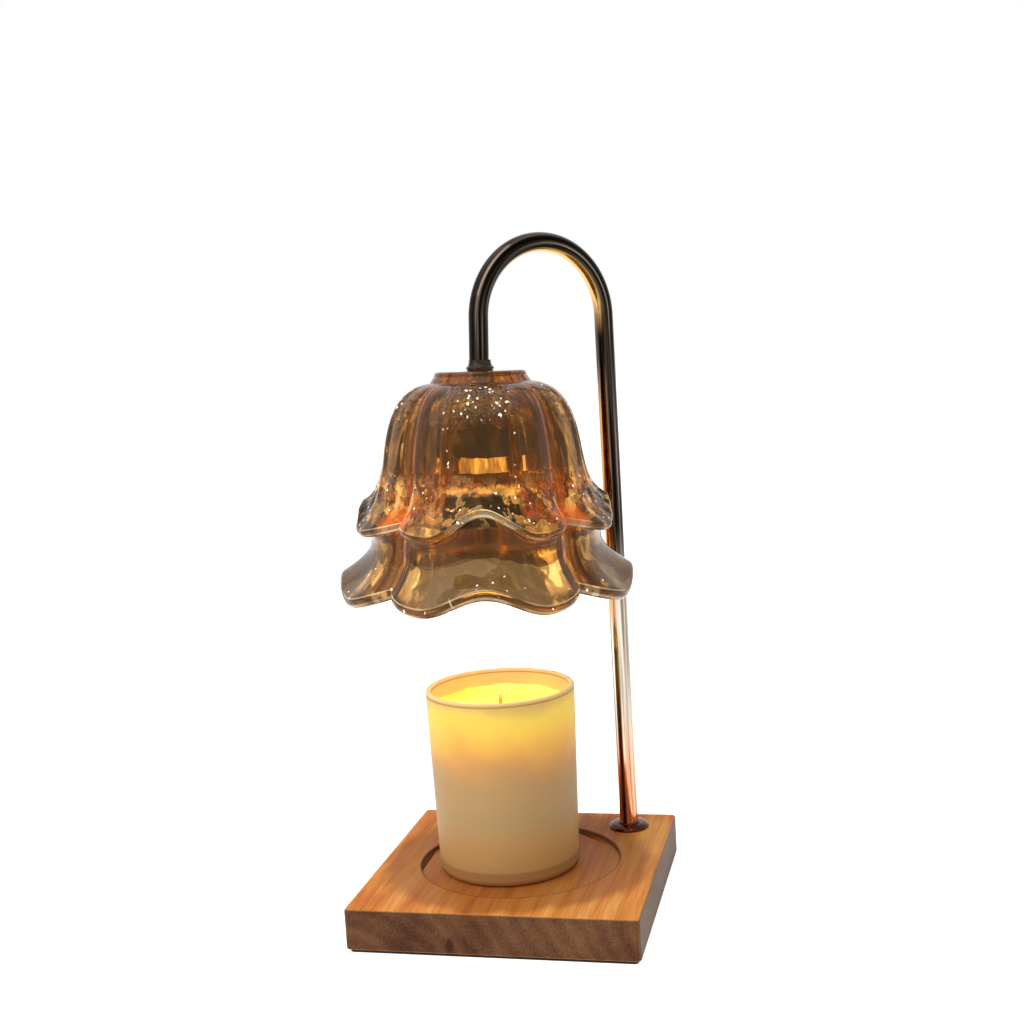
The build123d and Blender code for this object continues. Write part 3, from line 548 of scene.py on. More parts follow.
# %% The rule that blends the outlines round the axis
flower_rule, sizes, flower_result = new_rule("glass_flower", {
    "Outline Points": len(lobe),
    "Petals": 4,
    "Steps per Petal": 64,
    "Lobe Place": 0.54,
    "Rib Place": 0.47,
    "Rib Width": 0.09,
    "Rib Height": 0.0012,
    "Ripples": 44,
    "Ripple Slant": 260.0,
    "Ripple Depth": 0.00006,
    "Flute Depth": 0.0002,
    "First Petal": 0.0,
    "Glass Top": (0.0, 0.0, 0.0),
    "Glass Turn": (0.0, 0.0, 0.0),
})
tree = flower_rule
columns = times(sizes["Petals"], sizes["Steps per Petal"])
rows = plus(sizes["Outline Points"], 1)
grid_inputs = {"Vertices X": plus(columns, 1), "Vertices Y": rows}
grid = node(tree, "GeometryNodeMeshGrid", grid_inputs).outputs["Mesh"]
index = node(tree, "GeometryNodeInputIndex").outputs[0]
column = calc("FLOOR", calc("DIVIDE", plus(index, 0.5), rows))
row = minus(index, times(column, rows))
outline_point = calc("MODULO", row, sizes["Outline Points"])


def from_section(value, kind="FLOAT_VECTOR"):
    """Read a value of the section at the grid point's place in the outline."""
    inputs = {0: sizes["Geometry"], 1: value, 2: outline_point}
    return node(tree, "GeometryNodeSampleIndex", inputs, data_type=kind).outputs[0]


def carried(label, kind="FLOAT"):
    """A named attribute of the section, read at the grid point's place in the outline."""
    named = node(tree, "GeometryNodeInputNamedAttribute", {0: label}, data_type=kind).outputs[0]
    return from_section(named, kind)


def moved(place, label, share):
    """A place moved along a share of one of the section's arrows."""
    arrow = {0: carried(label, "FLOAT_VECTOR"), "Scale": share}
    arrow = node(tree, "ShaderNodeVectorMath", arrow, operation="SCALE").outputs[0]
    return vector_step("ADD", place, arrow)[0]


# Where the column lies in its petal: 0 at the notch in its middle, 1 at the creases beside it
petal_share = calc("FRACT", calc("DIVIDE", column, sizes["Steps per Petal"]))
aside = calc("ABSOLUTE", minus(times(petal_share, 2), 1))
to_lobe = calc("DIVIDE", aside, sizes["Lobe Place"], clamp=True)
hang = calc("POWER", calc("SINE", times(to_lobe, pi / 2)), 2)
past_lobe, beyond = minus(aside, sizes["Lobe Place"]), minus(1, sizes["Lobe Place"])
fold_share = calc("DIVIDE", past_lobe, beyond, clamp=True)
place = from_section(node(tree, "GeometryNodeInputPosition").outputs[0])
place = moved(place, "to_notch", minus(1, hang))
place = moved(place, "to_rise", calc("POWER", fold_share, 1.5))
place = moved(place, "to_tuck", calc("POWER", fold_share, 2.6))
print("blend built with", len(tree.nodes), "nodes")

# %% [markdown]
# The blended place is still a radius and a height. The column's angle turns it round the axis, the
# first and last columns are welded, and the finished flower is set on the end of the leaning arm.

# %% The rule's last steps, and the glass mesh
reach, _, drop = parts_of(place)
turn_share = calc("DIVIDE", column, columns)
angle = plus(times(turn_share, 2 * pi), sizes["First Petal"])
off_rib = calc("DIVIDE", minus(aside, sizes["Rib Place"]), sizes["Rib Width"])
rib = minus(1, calc("POWER", off_rib, 2), clamp=True)
rib = times(calc("POWER", rib, 2), sizes["Rib Height"])
wave = calc("SINE", weighted((angle, sizes["Ripples"]), (drop, sizes["Ripple Slant"])))
out = weighted(
    (rib, carried("rib")), (times(wave, sizes["Ripple Depth"]), carried("ripple")),
    (times(wave, sizes["Flute Depth"]), carried("flute")),
)
radius = plus(reach, out)
round_place = combined(times(radius, calc("COSINE", angle)), times(radius, calc("SINE", angle)), drop)
shaped = node(tree, "GeometryNodeSetPosition", {0: grid, "Position": round_place}).outputs[0]
marks = {"aside": aside, "height": drop, "edge": carried("edge"), "outer": carried("rib")}
for label, value in marks.items():
    shaped = store(shaped, label, value)
welded = node(tree, "GeometryNodeMergeByDistance", {0: shaped, "Distance": 1e-5}).outputs[0]
hung = node(tree, "GeometryNodeTransform", {
    0: welded, "Translation": sizes["Glass Top"], "Rotation": sizes["Glass Turn"],
}).outputs[0]
amber, amber_tree, amber_shader = new_finish("amber_glass")
close_rule(tree, hung, amber, flower_result)

arm_end = Vector((-4.478, -4.032, 268.18)) * mm
arm_x = Vector((-0.71934, 0.69466, 0)).normalized()
arm_z = Vector((0.02182, 0.022595, 0.999507)).normalized()
arm_turn = Matrix((arm_x, arm_z.cross(arm_x), arm_z)).transposed()
# The front petal's notch, the arm and half a petal, as headings in degrees. The first column is a
# crease, and the glass's own X axis points a quarter turn before the arm's heading.
front_notch, arm_heading, half_petal, washer = -77, 226, 45, 1 * mm
glass_mesh = run_rule("glass_flower", tree, section, {
    "First Petal": radians(front_notch - half_petal - (arm_heading - 90)),
    "Glass Top": tuple(arm_end - arm_z * washer),
    "Glass Turn": tuple(arm_turn.to_euler()),
})
work = bmesh.new()
work.from_mesh(glass_mesh)
bmesh.ops.recalc_face_normals(work, faces=work.faces)
print("glass volume, cubic centimetres", round(work.calc_volume() * 1e6, 1))
work.to_mesh(glass_mesh)
work.free()
add_piece("glass_flower", glass_mesh, "shade", amber, ["glass_shade"])

# %% [markdown]
# ## The glass flower: its finish
# Pressed amber glass is clear brown where it is thin and turns red-orange where light runs a long
# way through it: in the creases, the collar and the lips. The body of the glass absorbs blue and
# green, which is a volume and so depends on thickness. The surface tint follows the height and the
# place in the petal that the rule stored. On top of it lie upright streaks of painted reflection,
# dark and gold, the plain panel in the middle of each rim petal in painted shade with a painted
# highlight along the shelf above it, a line of painted shade with a painted highlight beside it
# along each crease, and a painted highlight along the ribs.

# %% Amber glass: tint, streaks and creases
tree = amber_tree
labels = "height", "aside", "edge", "outer"
height, aside, on_edge, outer = [stored(tree, label) for label in labels]
flower_height, rib_place, squash = 0.112, 0.43, 0.7
climb = node(tree, "ShaderNodeMapRange", {0: height, 1: -flower_height, 2: 0.0}).outputs[0]
body_tint = ramp(climb, [
    (0.0, (0.15, 0.080, 0.024)), (0.22, (0.14, 0.072, 0.021)), (0.29, (0.24, 0.12, 0.030)),
    (0.36, (0.26, 0.125, 0.028)), (0.52, (0.26, 0.120, 0.028)), (0.66, (0.21, 0.110, 0.027)),
    (0.88, (0.17, 0.095, 0.026)), (0.945, (0.23, 0.090, 0.020)), (0.965, (0.28, 0.065, 0.012)),
    (1.0, (0.36, 0.105, 0.028)),
])
# Upright streaks of painted reflection, gold and dark.
reflection_streaks = own_noise(tree, 190, 3, 0.55, stretch=(1, 1, 0.16))
# The middle panel of each rim petal in painted shade, and a painted highlight on the shelf above it.
in_panel = between(aside, 0.64, 0.50)
shaded_panel = times(between(height, -0.080, -0.084), in_panel)
shelf_highlight = times(line_at(height, -0.0785, 0.0022), in_panel)
# Along each crease, a painted highlight beside a line of painted shade.
fold_highlight, fold_shade_line = line_at(aside, 0.955, 0.040), line_at(aside, 0.885, 0.034)
# A painted highlight along each rib on the rim.
rib_highlight = times(line_at(aside, rib_place, 0.030), between(height, -0.092, -0.082))
layers = [
    (between(reflection_streaks, 0.54, 0.63), 1.0, (0.86, 0.50, 0.11)),
    (between(reflection_streaks, 0.47, 0.39), 0.9, (0.075, 0.030, 0.008)),
    (shaded_panel, 0.9, (0.105, 0.061, 0.024)),
    (shelf_highlight, 0.7, (0.48, 0.27, 0.10)),
    (fold_highlight, 0.8, (0.90, 0.30, 0.05)),
    (fold_shade_line, 1.0, (0.12, 0.016, 0.004)),
    (rib_highlight, 0.5, (0.62, 0.30, 0.08)),
]
print("streaks and creases, nodes", len(tree.nodes))

# %% [markdown]
# The ruffle's thick foot is crumpled, and the light in it breaks up, which is painted as facets
# of gold and red-orange. In the middle of each petal a painted golden highlight runs above a patch
# of painted shade, and a red knot sits at each end of a crease. The flanks of the rim's petals hold
# a long painted patch of the bulb's golden light, the lips are painted paler as a highlight, and
# each lip has painted cream highlight lines where its rounding catches the light.

# %% Crumpled foot, golden flanks and lips
crumple_way = object_point(tree, scale=(1, 1, squash))
cells = cells_on(crumple_way, 150, feature="SMOOTH_F1")
crumple = noise(crumple_way, 150, 3, 0.6)
foot_zone = band(height, -0.070, -0.065, -0.054, -0.045)
# Painted gold highlights in the crumpled foot, with painted red-orange refraction beside them.
gold_glint_facets = times(foot_zone, between(crumple, 0.51, 0.56))
off_middle = largest(between(aside, 0.36, 0.46), between(height, -0.066, -0.069))
red_refraction_facets = times(foot_zone, between(crumple, 0.46, 0.41), off_middle)
# A patch of painted shade under the middle of each petal.
shade_zone = times(between(aside, 0.46, 0.38), between(crumple, 0.60, 0.50))
shade_zone = times(shade_zone, band(height, -0.0705, -0.0685, -0.0560, -0.0545))
# A painted golden highlight along a wavy line above the painted shade.
crest_wave = plus(height, times(minus(crumple, 0.5), 0.012))
crest_highlight = times(line_at(crest_wave, -0.0535, 0.0019), between(aside, 0.50, 0.40))
knot = times(between(aside, 0.76, 0.86), line_at(height, -0.0675, 0.0090))
# A painted patch of the bulb's golden light on the flanks of the rim's petals.
flank_noise = own_noise(tree, 75, 2, stretch=(1, 1, 0.5))
flank = times(band(aside, 0.56, 0.58, 0.79, 0.82), band(height, -0.101, -0.098, -0.083, -0.080))
flank = times(flank, between(flank_noise, 0.48, 0.505))
# Painted highlights on the lips: a paler tint and cream lines.
rim_lip_highlight = times(between(on_edge, 0.30, 0.60), between(height, -0.086, -0.090))
lip_noise = own_noise(tree, 48, 1)
lip_highlight_line = largest(line_at(on_edge, 0.50, 0.22), between(on_edge, 0.965, 0.99))
lip_highlight_line = times(lip_highlight_line, between(lip_noise, 0.36, 0.60))
layers += [
    (gold_glint_facets, 0.85, (0.98, 0.60, 0.18)),
    (red_refraction_facets, 0.9, (0.66, 0.12, 0.018)),
    (shade_zone, 0.97, (0.020, 0.009, 0.003)),
    (crest_highlight, 0.95, (1.0, 0.74, 0.26)),
    (knot, 0.95, (0.80, 0.15, 0.022)),
    (flank, 0.9, (1.0, 0.62, 0.20)),
    # The lips painted paler as a highlight.
    (between(on_edge, 0.55, 0.95), 0.7, (0.52, 0.38, 0.24)),
    (rim_lip_highlight, 0.5, (0.52, 0.36, 0.20)),
    (lip_highlight_line, 0.9, (1.0, 0.82, 0.52)),
]
print("facets and flanks, nodes", len(tree.nodes))

# %% [markdown]
# Pressed glass sparkles where small dents stand close together: under the collar, along the ribs
# and, thinly, on the foot, the rim and the lips. Bumps alone sparkle only under a small bright
# lamp, so each dent also gets a painted glint, a pale dot, which is a Voronoi cell's middle, pulled
# out of round by noise. A cell's random colour decides whether its dot shows, and the zones set how
# many do.

# %% Sparkling dents and painted glints
wobble = node(tree, "ShaderNodeTexNoise", {0: object_point(tree), "Scale": 800, "Detail": 1})
dot_inputs = {0: wobble.outputs["Color"], 1: (0.0014,) * 3, 2: crumple_way}
dot_way = node(tree, "ShaderNodeVectorMath", dot_inputs, operation="MULTIPLY_ADD").outputs[0]
dot_cells = cells_on(dot_way, 470)
chance = parts_of(dot_cells["Color"])[0]
under_collar = times(band(height, -0.027, -0.013, -0.008, -0.0045), between(aside, 0.66, 0.24), outer)
on_rib = times(line_at(aside, rib_place, 0.050), between(height, -0.052, -0.046), outer, 0.95)
on_lobes = times(line_at(aside, 0.54, 0.16), line_at(height, -0.0695, 0.0040), 0.60)
on_rim = times(band(height, -0.107, -0.103, -0.092, -0.086), 0.045)
on_lips = times(between(on_edge, 0.05, 0.3), 0.08)
on_foot, on_collar = times(foot_zone, 0.08), times(under_collar, 0.80)
density = largest(on_collar, on_rib, on_foot, on_lips, on_lobes, on_rim)
chosen = calc("GREATER_THAN", plus(chance, density), 1.0)
dot_reach = times(chance, plus(0.22, times(under_collar, 0.16)))
past_dot = minus(dot_cells["Distance"], dot_reach)
# Painted glints: a pale dot in each chosen cell.
glint_dots = times(chosen, between(past_dot, 0.06, -0.04))
layers.append((glint_dots, 1.0, (1.0, 0.96, 0.88)))
print("dots, nodes", len(tree.nodes))

# %% [markdown]
# Some layers, painted shade and painted highlights alike, also let less light through, and the
# painted highlights glow a little, as painted light that the glass gathers; the whole glass has a
# faint painted glow too. The dents, the crumpled foot and a slow unevenness are bumps.

# %% Light through the glass
# Painted shade and painted highlights hold back some light.
held_back = weighted(
    (glint_dots, 0.95), (lip_highlight_line, 0.45), (fold_shade_line, 0.75), (fold_highlight, 0.15),
    (shade_zone, 0.9), (red_refraction_facets, 0.30), (knot, 0.60),
)
# The painted highlights and glints glow a little, and the whole glass glows faintly, as painted light.
glow = weighted((flank, 0.16), (gold_glint_facets, 0.20), (crest_highlight, 0.30), (glint_dots, 0.7))
set_shader(
    amber_shader, Base_Color=lay_all(body_tint, layers), Roughness=0.02, IOR=1.5,
    Specular_IOR_Level=0.14, Specular_Tint=(1.0, 0.62, 0.30, 1),
    Transmission_Weight=minus(1.0, held_back, clamp=True),
    Emission_Strength=plus(glow, 0.012),
    Emission_Color=mix_colour(glint_dots, (1.0, 0.50, 0.12, 1), (1.0, 0.94, 0.84, 1)),
)
dents = times(dot_cells["Distance"], under_collar)
facets = times(cells["Distance"], foot_zone)
pressed = own_noise(tree, 60, 2, 0.4)
bump(amber_shader, weighted((dents, 3.0), (pressed, 0.35), (facets, 2.2)), 0.7, 0.0014)
body_inputs = {"Color": (0.80, 0.62, 0.30, 1), "Density": 60.0}
amber_body = node(tree, "ShaderNodeVolumeAbsorption", body_inputs)
join(amber_body.outputs[0], tree.nodes["Material Output"].inputs["Volume"])
print("amber glass nodes", len(tree.nodes))

# %% [markdown]
# ## The gooseneck
# One length of plated steel tube rises from the board, goes over in a half circle that ends a
# little past upright, and comes down to the shade. Its middle line is worked out from four sizes,
# and a rule sweeps a circle along it. The rule also stores where on its way round the tube each
# point lies, so the finish can have the long streaks that a polished tube shows.

# %% The tube's middle line
pole_place = Vector((47.7, 50.0, 0.0)) * mm
neck_heading, arm_lean = radians(arm_heading), radians(1.8)
arch_radius, arch_level, arm_length, tube_foot = 37.2 * mm, 290.3 * mm, 23.3 * mm, 9.6 * mm
outwards = Vector((cos(neck_heading), sin(neck_heading), 0))
arch_steps = 72


def on_neck(reach, height):
    """A point in the arch's own upright plane."""
    return pole_place + outwards * reach + Vector((0, 0, height))


line = [on_neck(0, tube_foot + (arch_level - tube_foot) * step / 24) for step in range(24)]
for step in range(arch_steps + 1):
    swing = pi - (pi - arm_lean) * step / arch_steps
    line.append(on_neck(arch_radius * (1 + cos(swing)), arch_level + arch_radius * sin(swing)))
arch_end, arm_way = line[-1], (line[-1] - line[-2]).normalized()
line += [arch_end + arm_way * (arm_length * step / 4) for step in range(1, 5)]
neck_curve = bpy.data.curves.new("neck_line", "CURVE")
neck_curve.dimensions = "3D"
spline = neck_curve.splines.new("POLY")
spline.points.add(len(line) - 1)
for point, place in zip(spline.points, line):
    point.co = (*place, 1)
print("arm ends at", [round(v / mm, 2) for v in line[-1]])

# %% The rule that sweeps the tube
tube_rule, sizes, tube_result = new_rule("swept_tube", {"Tube Radius": 0.00475, "Round Steps": 48})
tree = tube_rule
ring = node(tree, "GeometryNodeCurvePrimitiveCircle", {
    "Resolution": sizes["Round Steps"], "Radius": sizes["Tube Radius"],
}).outputs["Curve"]
ring_place = node(tree, "GeometryNodeInputPosition").outputs[0]
ring = store(ring, "around", ring_place, "FLOAT_VECTOR")
way = node(tree, "GeometryNodeSplineParameter").outputs["Factor"]
path = store(sizes["Geometry"], "along", way)
swept = node(tree, "GeometryNodeCurveToMesh", {0: path, 1: ring, "Fill Caps": False}).outputs[0]
plated, plated_tree, plated_shader = new_finish("dark_plating")
close_rule(tree, swept, plated, tube_result)
tube_mesh = run_rule("neck_tube_shell", tree, neck_curve, {"Tube Radius": 4.75 * mm})

# %% The tube's wall, and the side that faces into the arch
arch_spine = on_neck(arch_radius, 0)
work = bmesh.new()
work.from_mesh(tube_mesh)
bmesh.ops.recalc_face_normals(work, faces=work.faces)
work.normal_update()
facing = work.verts.layers.float.new("facing")
for vert in work.verts:
    level = min(vert.co.z, arch_level)
    inwards = Vector((arch_spine.x, arch_spine.y, level)) - vert.co
    vert[facing] = vert.normal.dot(inwards.normalized())
bmesh.ops.solidify(work, geom=work.faces[:], thickness=0.7 * mm)
print("volume of the steel, cubic centimetres", round(work.calc_volume() * 1e6, 2))
bmesh.ops.recalc_face_normals(work, faces=work.faces)
work.to_mesh(tube_mesh)
work.free()
smooth(tube_mesh, 60)
add_piece("neck_tube_shell", tube_mesh, "neck", plated, ["neck_tube"])

# %% [markdown]
# ## The plating
# The tube is plated in a dark, smoky chrome. A polished tube mirrors what stands round it in long
# streaks, dark and light, so the plating gets painted reflection streaks that follow the tube: noise
# read from the place round the ring and, much more slowly, from the place along it. Lower on the
# pole the painted reflections are paler, and towards its foot they turn copper, as a painted
# reflection of the board. The side that faces into the arch, and a stretch of the pole beside the
# shade, carry warm golden painted reflections.

# %% Dark plating
tree = plated_tree
around = parts_of(stored(tree, "around", "Vector"))
way_up = stored(tree, "along")
streak_place = combined(times(around[0], 480), times(around[1], 480), times(way_up, 3.0))
# Painted reflection streaks that follow the tube.
reflection_streaks = noise(streak_place, 1.0, 2, 0.55)
# Dark painted reflections high up, paler ones lower on the pole, and copper painted reflections of the
# board at its foot.
smoky_reflections = painted_ramp(reflection_streaks, {
    0.34: (6, 5, 4), 0.50: (22, 17, 14), 0.60: (62, 52, 45), 0.72: (140, 124, 110),
})
pale = painted_ramp(reflection_streaks, {
    0.32: (52, 44, 38), 0.44: (118, 106, 94), 0.56: (186, 174, 156), 0.70: (240, 234, 224),
})
copper = painted_ramp(reflection_streaks, {
    0.32: (58, 28, 18), 0.44: (150, 82, 54), 0.54: (222, 160, 122), 0.66: (246, 226, 206),
})
plating = mix_colour(between(way_up, 0.42, 0.30), smoky_reflections, pale)
plating = mix_colour(between(way_up, 0.20, 0.09), plating, copper)
# Warm golden painted reflections on the side that faces into the arch and on the pole beside the shade.
inner_side = between(stored(tree, "facing"), 0.45, 0.92)
arch_reflection = times(inner_side, band(way_up, 0.64, 0.71, 0.80, 0.90))
pole_reflection = times(inner_side, band(way_up, 0.26, 0.32, 0.54, 0.62), between(reflection_streaks, 0.42, 0.56))
layers = [(arch_reflection, 0.85, paint(244, 196, 120)), (pole_reflection, 1.0, paint(222, 158, 92))]
set_shader(plated_shader, Base_Color=lay_all(plating, layers), Metallic=1.0, Roughness=0.12)
bump(plated_shader, own_noise(tree, 900, 2), 0.04, 0.0001)
print("plating nodes", len(tree.nodes))

# %% [markdown]
# ## The small metal parts
# The rosette, the cap on the glass, the nuts and the holder are turned or pressed parts, and the
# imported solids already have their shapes. They get merged, smoothly shaded copies. One function
# makes a metal with fine turning marks, and is called once for each kind of metal.


# %% Turned metals
def turned_metal(name, light, dark, roughness, grain=700):
    """A metal whose tone wanders between two colours, with fine marks in its gloss."""
    material, tree, shader = new_finish(name)
    tone = painted_ramp(own_noise(tree, 90, 3), {0.35: dark, 0.65: light})
    marks = own_noise(tree, grain, 2, stretch=(1, 1, 4))
    gloss = spread(marks, roughness * 0.7, roughness * 1.5)
    set_shader(shader, Base_Color=tone, Roughness=gloss, Metallic=1.0)
    bump(shader, marks, 0.1, 0.00015)
    return material


metals = {
    "rosette_copper": ((104, 56, 38), (34, 18, 13), 0.12),
    "cap_plating": ((60, 50, 42), (14, 11, 9), 0.12, 1500),
    "zinc": ((196, 198, 202), (150, 152, 156), 0.3),
    "brass": ((214, 172, 92), (150, 112, 52), 0.25),
    "bracket_steel": ((176, 172, 166), (120, 116, 112), 0.35),
    "cup_metal": ((104, 78, 52), (62, 44, 28), 0.35),
    "screw_steel": ((190, 188, 184), (130, 128, 126), 0.28),
    "tab_metal": ((206, 204, 200), (160, 158, 154), 0.35),
}
finishes = {name: turned_metal(name, *settings) for name, settings in metals.items()}
metal_pieces = {
    "rosette_copper": ["pole_rosette"],
    "cap_plating": ["neck_cap", "shade_washer_top"],
    "zinc": ["holder_nut_upper", "holder_nut_lower"],
    "brass": ["shade_nipple", "shade_nut", "shade_washer_bottom"],
    "bracket_steel": ["holder_bridge"],
    "cup_metal": ["holder_cup"],
}
for finish, names in metal_pieces.items():
    for name in names:
        dressed_copy(name, finishes[finish])

# %% [markdown]
# ## The bulb and its socket
# The bulb is a small halogen reflector lamp: a moulded glass neck with two pins, a faceted dish, a
# domed cover glass and a small capsule in the middle. It is lit, so its cover glows a little. The
# glow stays low: it warms the candle and the inside of the shade without lighting the scene.

# %% The bulb's finishes
def lit(shader, tint, strength, roughness):
    """Give a shader one tint for its surface and its glow."""
    set_shader(
        shader, Base_Color=tint, Emission_Color=tint, Emission_Strength=strength, Roughness=roughness,
    )


cover_glass, tree, shader = new_finish("lit_cover_glass")
lens_dots = cells_on(object_point(tree), 420)["Distance"]
lit(shader, painted_ramp(lens_dots, {0.0: (255, 242, 200), 0.6: (255, 216, 136)}), 9.0, 0.25)
bump(shader, lens_dots, 0.3, 0.0004)

dish, tree, shader = new_finish("dish_mirror")
facets = cells_on(object_point(tree), 300)["Color"]
dish_tone = mix_colour(0.25, (*paint(240, 196, 120), 1), facets, "MULTIPLY")
set_shader(shader, Base_Color=dish_tone, Metallic=1.0, Roughness=0.18)
bump(shader, facets, 0.25, 0.0005)

neck_glass, tree, shader = new_finish("bulb_neck_glass")
speckle = own_noise(tree, 160, 4)
lit(shader, painted_ramp(speckle, {0.3: (250, 206, 140), 0.7: (255, 234, 186)}), 3.0, 0.3)
bump(shader, speckle, 0.08, 0.0003)

capsule, tree, shader = new_finish("capsule_glass")
cloud = own_noise(tree, 80, 1)
capsule_tone = ramp(cloud, [(0.3, (0.98, 0.9, 0.74)), (0.7, (1, 0.97, 0.9))])
set_shader(shader, Base_Color=capsule_tone, Roughness=0.05, IOR=1.46, Transmission_Weight=1.0)
bulb_finishes = {
    "bulb_lens": cover_glass, "bulb_reflector": dish, "bulb_base": neck_glass, "bulb_capsule": capsule,
}
for name, finish in bulb_finishes.items():
    dressed_copy(name, finish, 40)

# %% [markdown]
# ## Ceramic, nylon and what sits in the board
# These parts are small and mostly out of sight, but each is still its own material. One function
# gives a moulded or fired surface with a faint mottle and grain.


# %% Moulded and fired finishes
def moulded(name, light, dark, roughness, scale=400, depth=0.0002):
    """A dielectric with a faint mottle and a fine grain."""
    material, tree, shader = new_finish(name)
    mottle = own_noise(tree, scale / 8, 4)
    tone = painted_ramp(mottle, {0.35: dark, 0.65: light})
    set_shader(shader, Base_Color=tone, Roughness=roughness)
    bump(shader, own_noise(tree, scale, 3), 0.25, depth)
    return material


plain_finishes = {
    "steatite": ((240, 232, 216), (222, 212, 192), 0.45),
    "black_nylon": ((34, 33, 33), (22, 21, 21), 0.45),
    "white_nylon": ((232, 230, 222), (212, 210, 202), 0.4),
    "lead_sleeve": ((236, 228, 208), (214, 204, 180), 0.5),
    "pad_foam": ((46, 40, 36), (26, 23, 21), 0.9, 900, 0.0005),
    "cover_board": ((70, 56, 46), (50, 40, 33), 0.7),
}
finishes |= {name: moulded(name, *settings) for name, settings in plain_finishes.items()}
for name, finish in {
    "socket_ceramic": "steatite", "cord_grommet": "black_nylon", "base_pad": "pad_foam",
}.items():
    dressed_copy(name, finishes[finish])
carried_over = {
    "brass": ["socket_contacts"],
    "screw_steel": [
        "socket_screws", "bulb_pins", "block_fixing_screw", "clamp_screws", "cover_screws",
        "terminal_screws",
    ],
    "zinc": ["pole_nut", "pole_spring_washer", "pole_washer"],
    "white_nylon": ["terminal_block"],
    "black_nylon": ["cord_clamp"],
    "lead_sleeve": ["base_lead", "neck_lead"],
    "cover_board": ["base_cover"],
    "tab_metal": ["wick_tab"],
}
for finish, names in carried_over.items():
    for name in names:
        frame["nodes"][name].material_slots[0].material = finishes[finish]
print("carried over", sum(len(names) for names in carried_over.values()))

# %% [markdown]
# ## The candle: jar, wax and wick
# The jar is frosted glass with a thick foot. It is spun from its profile, with a rounded rim and
# heel. Frosted glass over lit wax is not see-through: the light of the wax through it is painted
# as a soft gradient, bright yellow beside the melt pool, amber under it and grey-beige further
# down, which is a ramp over height, and the band beside the melt pool also glows a little as
# painted light. The inner wall above the wax is a paler pink-orange, so the finish asks which way a
# face points. The top of the rim carries a painted highlight, with a line of painted shadow just
# under it.

# %% Jar profile
jar_foot = Vector((-5.5, 0.3, 19.3)) * mm
jar_height, jar_bottom_radius, jar_top_radius, jar_wall, jar_floor = 91.7, 34.9, 37.1, 2.6, 8.0


def jar_radius(height):
    """The jar's outside radius at a height above its foot, in millimetres."""
    return jar_bottom_radius + (jar_top_radius - jar_bottom_radius) * height / jar_height


def rounded(centre, radius, first, last, steps):
    """Points on an arc in the profile's plane, by angles in degrees."""
    turns = [radians(first + (last - first) * step / steps) for step in range(steps + 1)]
    return [(centre[0] + radius * cos(t), centre[1] + radius * sin(t)) for t in turns]


heel, inner_heel, rim = 4.0, 3.0, 1.15
jar_profile = [(0, 0), (18, 0)] + rounded((jar_radius(4) - heel, heel), heel, -90, 0, 10)
jar_profile += [(jar_radius(h), h) for h in (12, 20, 30, 40, 50, 60, 70, 80, 86)]
rim_middle = (jar_radius(90.5) - jar_wall / 2, jar_height - rim)
jar_profile += rounded(rim_middle, jar_wall / 2, 0, 180, 12)
jar_profile += [(jar_radius(h) - jar_wall, h) for h in (86, 80, 70, 60, 50, 40, 30, 20, 14)]
floor_corner = (jar_radius(11) - jar_wall - inner_heel, jar_floor + inner_heel)
jar_profile += rounded(floor_corner, inner_heel, 0, -90, 8) + [(16, jar_floor), (0, jar_floor)]
frosted, frosted_tree, frosted_shader = new_finish("frosted_glass")
jar_mesh = spun("candle_jar_glass", [(r * mm, h * mm) for r, h in jar_profile], jar_foot)
smooth(jar_mesh, 60)
add_piece("candle_jar_glass", jar_mesh, "candle", frosted, ["candle_jar"])

# %% Frosted glass
tree, shader = frosted_tree, frosted_shader
spot = node(tree, "ShaderNodeTexCoord").outputs
above_foot = vector_step("SUBTRACT", spot["Object"], tuple(jar_foot))[0]
reach_x, reach_y, level = parts_of(above_foot)
cloud = own_noise(tree, 32, 2)
drift = times(minus(cloud, 0.5), between(level, 0.02, 0.06))
climb = calc("DIVIDE", plus(level, times(drift, 0.020)), jar_height * mm)
# The outside's colour over height: the light of the wax painted as a glow through the frost.
outside = painted_ramp(climb, {
    0.00: (190, 142, 88), 0.075: (180, 132, 78), 0.085: (206, 158, 100), 0.20: (206, 160, 98),
    0.36: (198, 166, 114), 0.55: (208, 168, 112), 0.66: (234, 174, 100), 0.76: (252, 196, 90),
    0.86: (255, 220, 88), 0.94: (255, 226, 100), 1.0: (252, 212, 124),
})
inside = painted_ramp(climb, {0.88: (255, 226, 140), 0.94: (250, 208, 158), 1.0: (250, 214, 172)})
flat_way = combined(reach_x, reach_y)
turned = vector_step("DOT_PRODUCT", flat_way, spot["Normal"])["Value"]
frost = mix_colour(calc("LESS_THAN", turned, 0.0), outside, inside)
# Heights of the rim's painted highlight and of the painted shadow line under it.
rim_highlight_start, shadow_level = 0.0912, 0.0901
frost = lay_all(frost, [
    (calc("GREATER_THAN", level, rim_highlight_start), 0.8, paint(255, 240, 205)),
    (line_at(level, shadow_level, 0.0006), 0.6, paint(150, 104, 50)),
])
# The band beside the melt pool glows a little as painted light.
set_shader(
    shader, Base_Color=frost, Roughness=0.5, Specular_IOR_Level=0.25, Transmission_Weight=0.12, IOR=1.5,
    Emission_Color=(*paint(255, 206, 96), 1),
    Emission_Strength=times(band(climb, 0.58, 0.86, 0.93, 1.0), 0.16),
)
bump(shader, own_noise(tree, 1600, 2), 0.12, 0.0002)
print("frosted glass nodes", len(tree.nodes))

# %% [markdown]
# The wax has a shallow melt pool. Where it has burned down, a thin ragged crust of it is left on
# the glass, so the outer edge of the surface climbs the wall by an uneven amount. The profile is
# spun first, and the points of the crust are then raised by a sum of waves with fixed phases.

